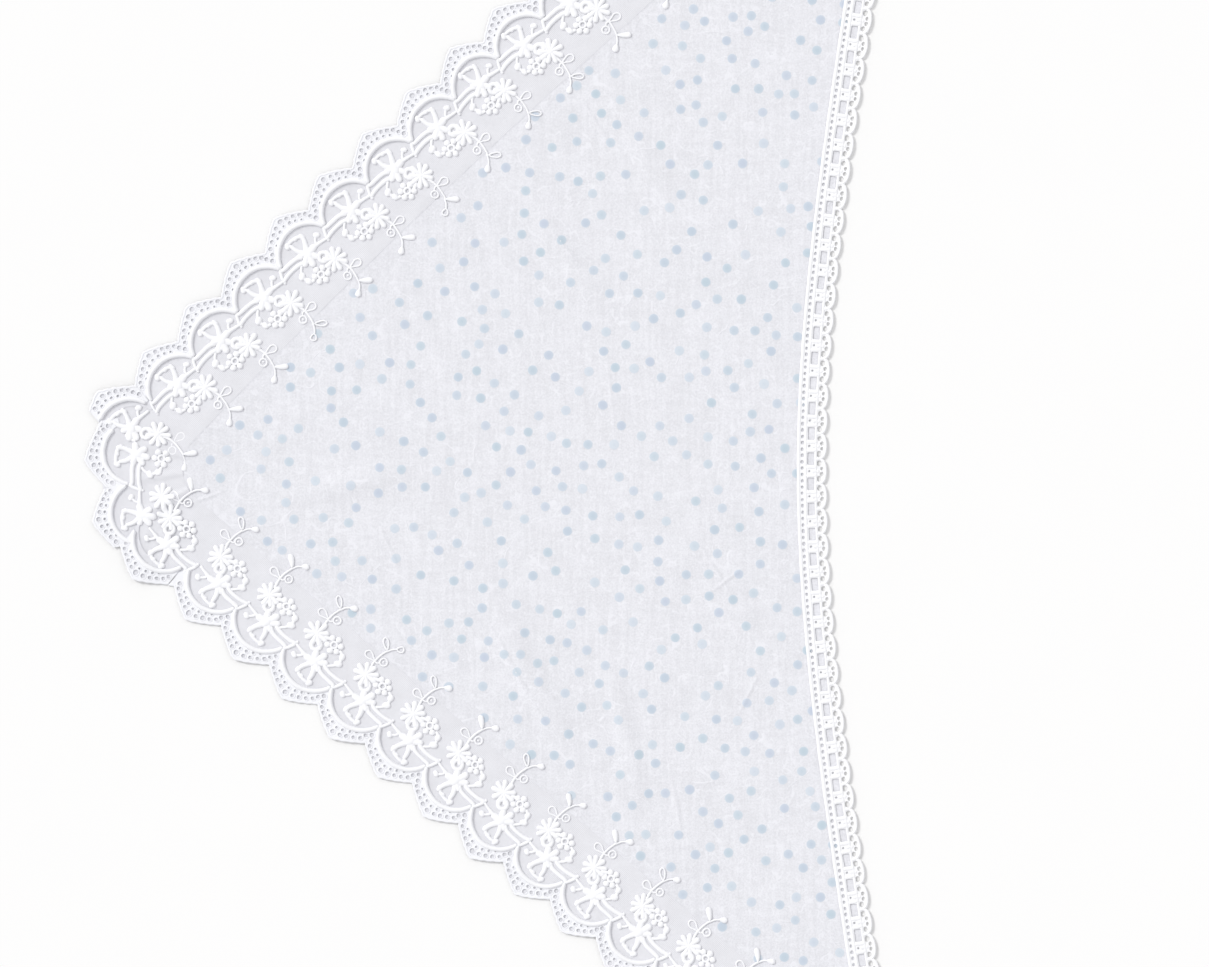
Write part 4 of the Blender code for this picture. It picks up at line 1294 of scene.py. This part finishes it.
class KERCHIEF_OT_band(bpy.types.Operator):
    """The scalloped edge band with its worked eyelets"""

    bl_idname = "kerchief.band"
    bl_label = "Edge Band"

    def plate(self, name, start, end, place, holes, alone):
        """A stretch of the band and its net, from the scalloped edge to the middle of the arches."""
        steps = np.linspace(start, end, max(4, round((end - start) / 1.5)) + 1)
        forward = with_notches(steps, start, end, 0.012, 0.01)
        outer = together(forward, edge_inward(forward, alone))
        local = forward if alone else from_whole(forward / REPEAT) * REPEAT
        inner = together(forward, arch_inward(local))
        outline = np.vstack([outer, inner[::-1]])
        if alone:
            flat, faces = fill([np.vstack([outer, inner[::-1] + (0.0, UNDER_FOLD)])])
        else:
            rows = [(outer + part * (inner - outer))[1:-1] for part in (0.25, 0.5, 0.75)]
            flat, faces = fill([outline], np.vstack(rows))
        x, y, ground, faces = laid_out(flat, faces, place)
        net = new_piece(f"{name}_net", together(x, y, ground - NET_UNDER_BAND), faces)
        return thick_plate(name, [outline] + holes, place, *BAND_HEIGHTS), net

    def execute(self, context):
        sizes = context.scene.kerchief_lace
        dice = np.random.default_rng(11)
        eyelets, rims, plates = Yarn(), Yarn(), []
        repeats = shown_repeats()
        runs = [(repeats[0], -1), (AFTER_FOLD, repeats[-1])]
        for first, last in runs + [(k, k) for k in FOLDED]:
            place, alone = chart_place(first, edge=True), first in FOLDED
            start, end = band_ends(first)[0], band_ends(last)[1] + (last - first) * REPEAT
            start -= STARTS_EARLIER if first == AFTER_FOLD else 0.0
            while not on_kerchief(place, start, arch_inward(0.0)):
                start += 0.5
            while not on_kerchief(place, end, arch_inward(0.0)):
                end -= 0.5
            holes = []
            for repeat in range(first, last + 1):
                shift = (repeat - first) * REPEAT
                spots = EYELETS + (FOLD_EYELETS if alone else (NOTCH_EYELET,) * (repeat < last))
                for forward, inward, radius in spots:
                    forward = forward + shift + 0.5 * (dice.random() - 0.5)
                    inward = inward + 0.5 * (dice.random() - 0.5)
                    radius = radius * (0.90 + 0.25 * dice.random())
                    turn, stretch = dice.random() * math.pi, 0.82 + 0.24 * dice.random()
                    if not (start + EYELET_CLEAR < forward < end - EYELET_CLEAR
                            and on_kerchief(place, forward, inward, MM)):
                        continue
                    ring = ring_of(radius, 9, turn, 0.30, dice) * (1.0, stretch)
                    rim = ring_of(radius + RING_OUT, 9, turn, 0.10, dice) * (1.0, stretch)
                    holes.append(ring + (forward, inward))
                    eyelets.cord(rim + (forward, inward), (1.25, 1.25), 0.24, place, closed=True, step=1.5,
                                 base=RING_BASE)
            plates.append(self.plate(f"band_{first}", start, end, place, holes, alone))
            steps = with_notches(np.arange(start, end, 2.0), start, end, 0.02)
            depth = edge_inward(steps, alone) + 1.3 + 0.3 * (dice.random(len(steps)) - 0.5)
            rims.cord(together(steps, depth), (2.4, 2.4), 0.34, place, base=RIM_BASE)
        bands, nets = zip(*plates)
        finish = thread_finish("net band", sizes.band_colour, 0.92, 0.00042, 1.0, 0.75, 0.00005)
        dress(join("edge_band", bands), finish)
        dress(join("band_net", nets), net_finish(sizes))
        for name, yarn in (("eyelet_rings", eyelets), ("scallop_rim", rims)):
            finish = thread_finish(f"{name} thread", sizes.band_colour, 0.94, 0.00032, 0.5, 0.65, 0.00005)
            dress(yarn.make(name), finish)
        return {"FINISHED"}


class KERCHIEF_OT_arches(bpy.types.Operator):
    """The padded satin-stitch arches, one over each scallop"""

    bl_idname = "kerchief.arches"
    bl_label = "Arches"

    def execute(self, context):
        sizes = context.scene.kerchief_lace
        dice = np.random.default_rng(13)
        yarn = Yarn()
        width = sizes.arch_width / STEP
        for repeat in shown_repeats():
            place = chart_place(repeat, edge=True)
            first, last = FOLDED[repeat].arch if repeat in FOLDED else (-ARCH_SPREAD, ARCH_SPREAD)
            angles = np.radians(np.linspace(first, last, 15))
            radius = ARCH_RADIUS + 0.3 * (dice.random(15) - 0.5)
            path = together(radius * np.sin(angles), ARCH_MIDDLE - radius * np.cos(angles))
            path = path[[bool(on_kerchief(place, *spot)) for spot in path]]
            if len(path) < 3:
                continue
            widths = width * np.interp(np.abs(np.degrees(angles[:len(path)])), (0, 45, 70), (1.0, 0.98, 0.82))
            yarn.cord(path, tuple(widths), sizes.arch_height, place, step=1.7, base=ARCH_BASE)
        colour = darker(sizes.thread_colour, 0.985)
        finish = thread_finish("satin arches", colour, 0.92, sizes.thread, 0.15, 0.5, 0.00006)
        dress(yarn.make("padded_arches"), finish)
        return {"FINISHED"}


def spoke(middle, degrees, reaches):
    """Points at distances from a middle, all in one direction."""
    angle = math.radians(degrees)
    return [(middle[0] + reach * math.cos(angle), middle[1] + reach * math.sin(angle)) for reach in reaches]


class KERCHIEF_OT_flowers(bpy.types.Operator):
    """The embroidered stems, blossoms, daisies, posies, buds and sprigs"""

    bl_idname = "kerchief.flowers"
    bl_label = "Flowers"

    def execute(self, context):
        sizes = context.scene.kerchief_lace
        wobble = sizes.wobble
        dice = np.random.default_rng(17)
        yarns = {kind: Yarn() for kind in ("stems", "blossoms", "daisies", "sprigs")}
        for repeat in shown_repeats():
            place = chart_place(repeat)
            left_out, under = FOLDED[repeat][-2:] if repeat in FOLDED else ((), ())
            blossom_eased, daisy_eased, sprig_eased = eased_parts(repeat)

            def lay(name, points, widths, height, closed=False, step=1.6):
                """Stitches one part where it belongs, swayed and sized a little."""
                points = np.asarray(points, float)
                sway = wobble * (dice.random(2) - 0.5) + 0.5 * wobble * (dice.random(points.shape) - 0.5)
                scale = sizes.fullness * (0.94 + 0.12 * dice.random())
                if name in left_out or not all(on_kerchief(place, *spot) for spot in points):
                    return
                kind = "sprigs" if name in SPRIG_PARTS else "stems" if name in STEM_PARTS else (
                    "daisies" if name in DAISY_PARTS else "blossoms")
                if name in TRUNK_PARTS:
                    away = np.clip((STEMS_JOIN_AT - points[:, :1]) / STEMS_EASED_OVER, 0.0, 1.0)
                    points, sway = points + away * blossom_eased, 0.35 * sway
                elif name in DAISY_PARTS or name.startswith("bud "):
                    points = points + daisy_eased
                else:
                    points = points + (sprig_eased if kind == "sprigs" else blossom_eased)
                base = STITCH_BASE_UNDER if name in under else STITCH_BASE
                widths = tuple(width * scale for width in widths)
                yarns[kind].cord(points + sway, widths, height * (0.92 + 0.16 * dice.random()), place,
                                 closed=closed, step=step, base=base)

            for name, points, widths, height in CORDS:
                lay(name, points, widths, height)
            for name, middle, length, width, degrees, height in BUDS:
                degrees = degrees + 16.0 * (dice.random() - 0.5)
                lay(name, spoke(middle, degrees, (-0.5 * length, 0.5 * length)), (width, width), height)
            for name, (forward, inward), (across, down), width, height in RINGS:
                angles = np.radians(np.arange(0, 360, 40) + 25.0)
                ring = together(forward + across * np.cos(angles), inward + down * np.sin(angles))
                lay(name, ring, (width, width), height, closed=True, step=1.3)
            lay("side loop", SIDE_LOOP, (2.0, 2.0), 0.52, closed=True, step=1.4)
            turn = 6.0 * (dice.random() - 0.5)
            for degrees in DAISY_PETALS:
                degrees = degrees + turn + 7.0 * (dice.random() - 0.5)
                reach = DAISY_REACH + 1.2 * (dice.random() - 0.5)
                lay("daisy", spoke(DAISY, degrees, (0.8, 6.5, reach)), (3.4, 5.0, 6.3, 5.8), 0.95)
            lay("daisy", spoke(DAISY, 0.0, (-4.2, 4.2)), (8.4, 8.4), 1.05)
            turn = 14.0 * (dice.random() - 0.5)
            for degrees in POSY_PETALS:
                lay("posy", spoke(POSY, degrees + turn, POSY_REACH), (6.4, 8.8), 0.95)
            open_leaf, open_bud = dice.random() < 0.3, dice.random() < 0.15
            for name, ends, open_work, wide in (("side leaf", SIDE_LEAF, open_leaf, 6.8),
                                                ("end bud", END_BUD, open_bud, 7.6)):
                if not open_work:
                    lay(name, ends, (2.4, 0.8 * wide, wide, 0.95 * wide), 0.85)
                    continue
                start, end = np.array(ends[0]), np.array(ends[-1])
                near, far = start + 0.35 * (end - start), start + 0.75 * (end - start)
                ahead = (end - start) / np.hypot(*(end - start))
                half = 0.5 * (wide - 2.0)
                side = np.array([-ahead[1], ahead[0]])
                loop = [start + 0.8 * ahead, near + 0.8 * half * side, far + half * side, end - 0.6 * ahead,
                        far - half * side, near - 0.8 * half * side]
                lay(name, loop, (2.1, 2.1), 0.52, closed=True, step=1.4)
        finishes = {
            "stems": ("stem stitch", 0.00028, 0.2), "blossoms": ("satin blossoms", 0.00030, 0.1),
            "daisies": ("satin daisies", 0.00030, 0.1), "sprigs": ("sprig stitch", 0.00026, 0.3),
        }
        for kind, (text, thread, slant) in finishes.items():
            finish = thread_finish(text, sizes.thread_colour, 0.93, thread, slant, 0.5, 0.00005)
            dress(yarns[kind].make(f"lace_{kind}"), finish)
        first, last = row_ends(lambda along: 0.5 * LACE_DEPTH)
        return {"FINISHED"}


def ladder_edge(forward):
    """How far out the ladder lace's scalloped edge lies, in steps."""
    bulge = np.cos(math.pi * from_whole(forward / LADDER_STEPS)) ** LADDER_BLUNTNESS
    return (LADDER_SHOWN_NOTCH + LADDER_SHOWN_BULGE * bulge) / STEP


class KERCHIEF_OT_ladder(bpy.types.Operator):
    """The narrow lace: eyelet row, ladder of bars and small scallops"""

    bl_idname = "kerchief.ladder"
    bl_label = "Ladder Lace"

    def reach(self, outward):
        """First and last steps forward at this width, to a slant in line with the wide lace's scallops."""
        def inside(forward):
            x, y, _ = ladder_place(forward, outward)
            return leg_depth(x, y) > -SCALLOP_DEPTH
        return [last_inside(inside, 0.0, ladders * LADDER_STEPS)
                for ladders in (-(LADDERS_DOWN + 5), LADDERS_UP + 5)]

    def execute(self, context):
        sizes = context.scene.kerchief_ladder
        dice = np.random.default_rng(19)
        yarn = Yarn()
        low, high = self.reach(0.0)
        low_out, high_out = self.reach(LADDER_PAST_CROWN)
        forward = np.arange(-LADDERS_DOWN - 1, LADDERS_UP + 1, 1.0 / 14.0) * LADDER_STEPS
        edge = forward[(forward > low_out + 1.0) & (forward < high_out - 1.0)]
        inner = forward[::4]
        inner = inner[(inner > low + 1.0) & (inner < high - 1.0)]
        outline = np.vstack([
            [(low_out, LADDER_PAST_CROWN)], together(edge, ladder_edge(edge)),
            [(high_out, LADDER_PAST_CROWN), (high, 0.0)],
            together(inner, 0.15 * np.sin(inner * 0.7))[::-1], [(low, 0.0)],
        ])
        holes = []

        def room(ahead, outward):
            """Whether the lace is there."""
            x, y, _ = ladder_place(np.float64(ahead), np.float64(outward))
            return leg_depth(x, y) > 0.0016 - SCALLOP_DEPTH

        def cut(ahead, outward, radius, stretch=1.0):
            """Cuts a small worked hole where there is room for it."""
            ahead += 0.4 * (dice.random() - 0.5)
            outward += 0.3 * (dice.random() - 0.5)
            radius *= 0.88 + 0.24 * dice.random()
            ring = ring_of(radius, 10, dice.random(), 0.2, dice) * (stretch, 1.0) + (ahead, outward)
            if room(ahead - 3.0, outward) and room(ahead + 3.0, outward):
                holes.append(ring)

        for ladder in range(-LADDERS_DOWN - 1, LADDERS_UP + 2):
            crown = ladder * LADDER_STEPS
            for ahead, *hole in LADDER_HOLES:
                cut(crown + ahead, *hole)
            cut(crown + 0.4 * (dice.random() - 0.5), *CROWN_HOLE)
            for ahead, *hole in SCALLOP_HOLES:
                cut(crown + ahead, *hole)
            middle = crown + 0.5 * LADDER_STEPS
            gap = np.array(LADDER_GAP) + 0.35 * (dice.random((8, 2)) - 0.5) + (middle, 0.0)
            if room(middle - 9.0, 14.0) and room(middle + 9.0, 14.0):
                holes.append(gap)
            if not (room(crown - 8.0, 14.0) and room(crown + 8.0, 14.0)):
                continue
            for ends, widths, height, step in LADDER_BARS:
                ends = np.array(ends) + (crown, 0.0)
                yarn.cord(ends, widths, height, ladder_place, step=step, base=LADDER_BASE)
            swing = np.linspace(-0.49, 0.49, 9) * LADDER_STEPS
            inset = 1.5 + 1.3 * (np.abs(swing) / 12.7) ** 6
            arc = together(crown + swing, ladder_edge(swing) - inset)
            yarn.cord(arc, *EDGE_CORD, ladder_place, step=1.7, base=LADDER_EDGE_BASE)
        for outward, width, height in LADDER_ROWS:
            first, last = self.reach(outward)
            stops = np.arange(first + 1.0, last - 1.0, 3.0)
            path = together(stops, outward + 0.35 * (dice.random(len(stops)) - 0.5))
            yarn.cord(path, (width, width), height, ladder_place, step=1.9, base=LADDER_BASE)
        ground = thick_plate("ladder_lace", [outline] + holes, ladder_place, sizes.lift,
                             sizes.lift + LADDER_THICK)
        finish = thread_finish("ladder ground", sizes.yarn_colour, 0.90, 0.00045, 1.0, 0.7, 0.00007)
        dress(ground, finish)
        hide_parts("narrow_lace")
        finish = thread_finish("ladder yarn", sizes.yarn_colour, 0.92, sizes.yarn, 0.9, 0.6, 0.00008)
        cords = dress(yarn.make("ladder_cords"), finish)
        return {"FINISHED"}


class KERCHIEF_PT_panel(bpy.types.Panel):
    """The kerchief's pieces and sizes"""

    bl_label = "Lace-Edged Kerchief"
    bl_idname = "KERCHIEF_PT_panel"
    bl_space_type = "VIEW_3D"
    bl_region_type = "UI"
    bl_category = "Kerchief"

    def draw(self, context):
        for group, operators in PANEL_ROWS:
            box = self.layout.box()
            sizes = getattr(context.scene, group)
            for name in sizes.bl_rna.properties.keys():
                if name not in ("rna_type", "name"):
                    box.prop(sizes, name)
            for operator in operators:
                box.operator(operator.bl_idname)


PANEL_ROWS = (
    ("kerchief_stage", (KERCHIEF_OT_stage,)),
    ("kerchief_cloth", (KERCHIEF_OT_cloth, KERCHIEF_OT_dots)),
    ("kerchief_lace", (KERCHIEF_OT_net, KERCHIEF_OT_band, KERCHIEF_OT_arches, KERCHIEF_OT_flowers)),
    ("kerchief_ladder", (KERCHIEF_OT_ladder,)),
)
GROUPS = {
    "kerchief_stage": KerchiefStage, "kerchief_cloth": KerchiefCloth, "kerchief_lace": KerchiefLace,
    "kerchief_ladder": KerchiefLadder,
}
CLASSES = (*GROUPS.values(), *(operator for _, operators in PANEL_ROWS for operator in operators),
           KERCHIEF_PT_panel)


def register():
    for item in CLASSES:
        bpy.utils.register_class(item)
    for name, group in GROUPS.items():
        setattr(bpy.types.Scene, name, bpy.props.PointerProperty(type=group))


def unregister():
    for name in GROUPS:
        delattr(bpy.types.Scene, name)
    for item in reversed(CLASSES):
        bpy.utils.unregister_class(item)


def main():
    register()
    bpy.ops.kerchief.stage()
    bpy.ops.kerchief.cloth()
    bpy.ops.kerchief.dots()
    bpy.ops.kerchief.net()
    bpy.ops.kerchief.band()
    bpy.ops.kerchief.arches()
    bpy.ops.kerchief.flowers()
    bpy.ops.kerchief.ladder()


if __name__ == "__main__":
    main()
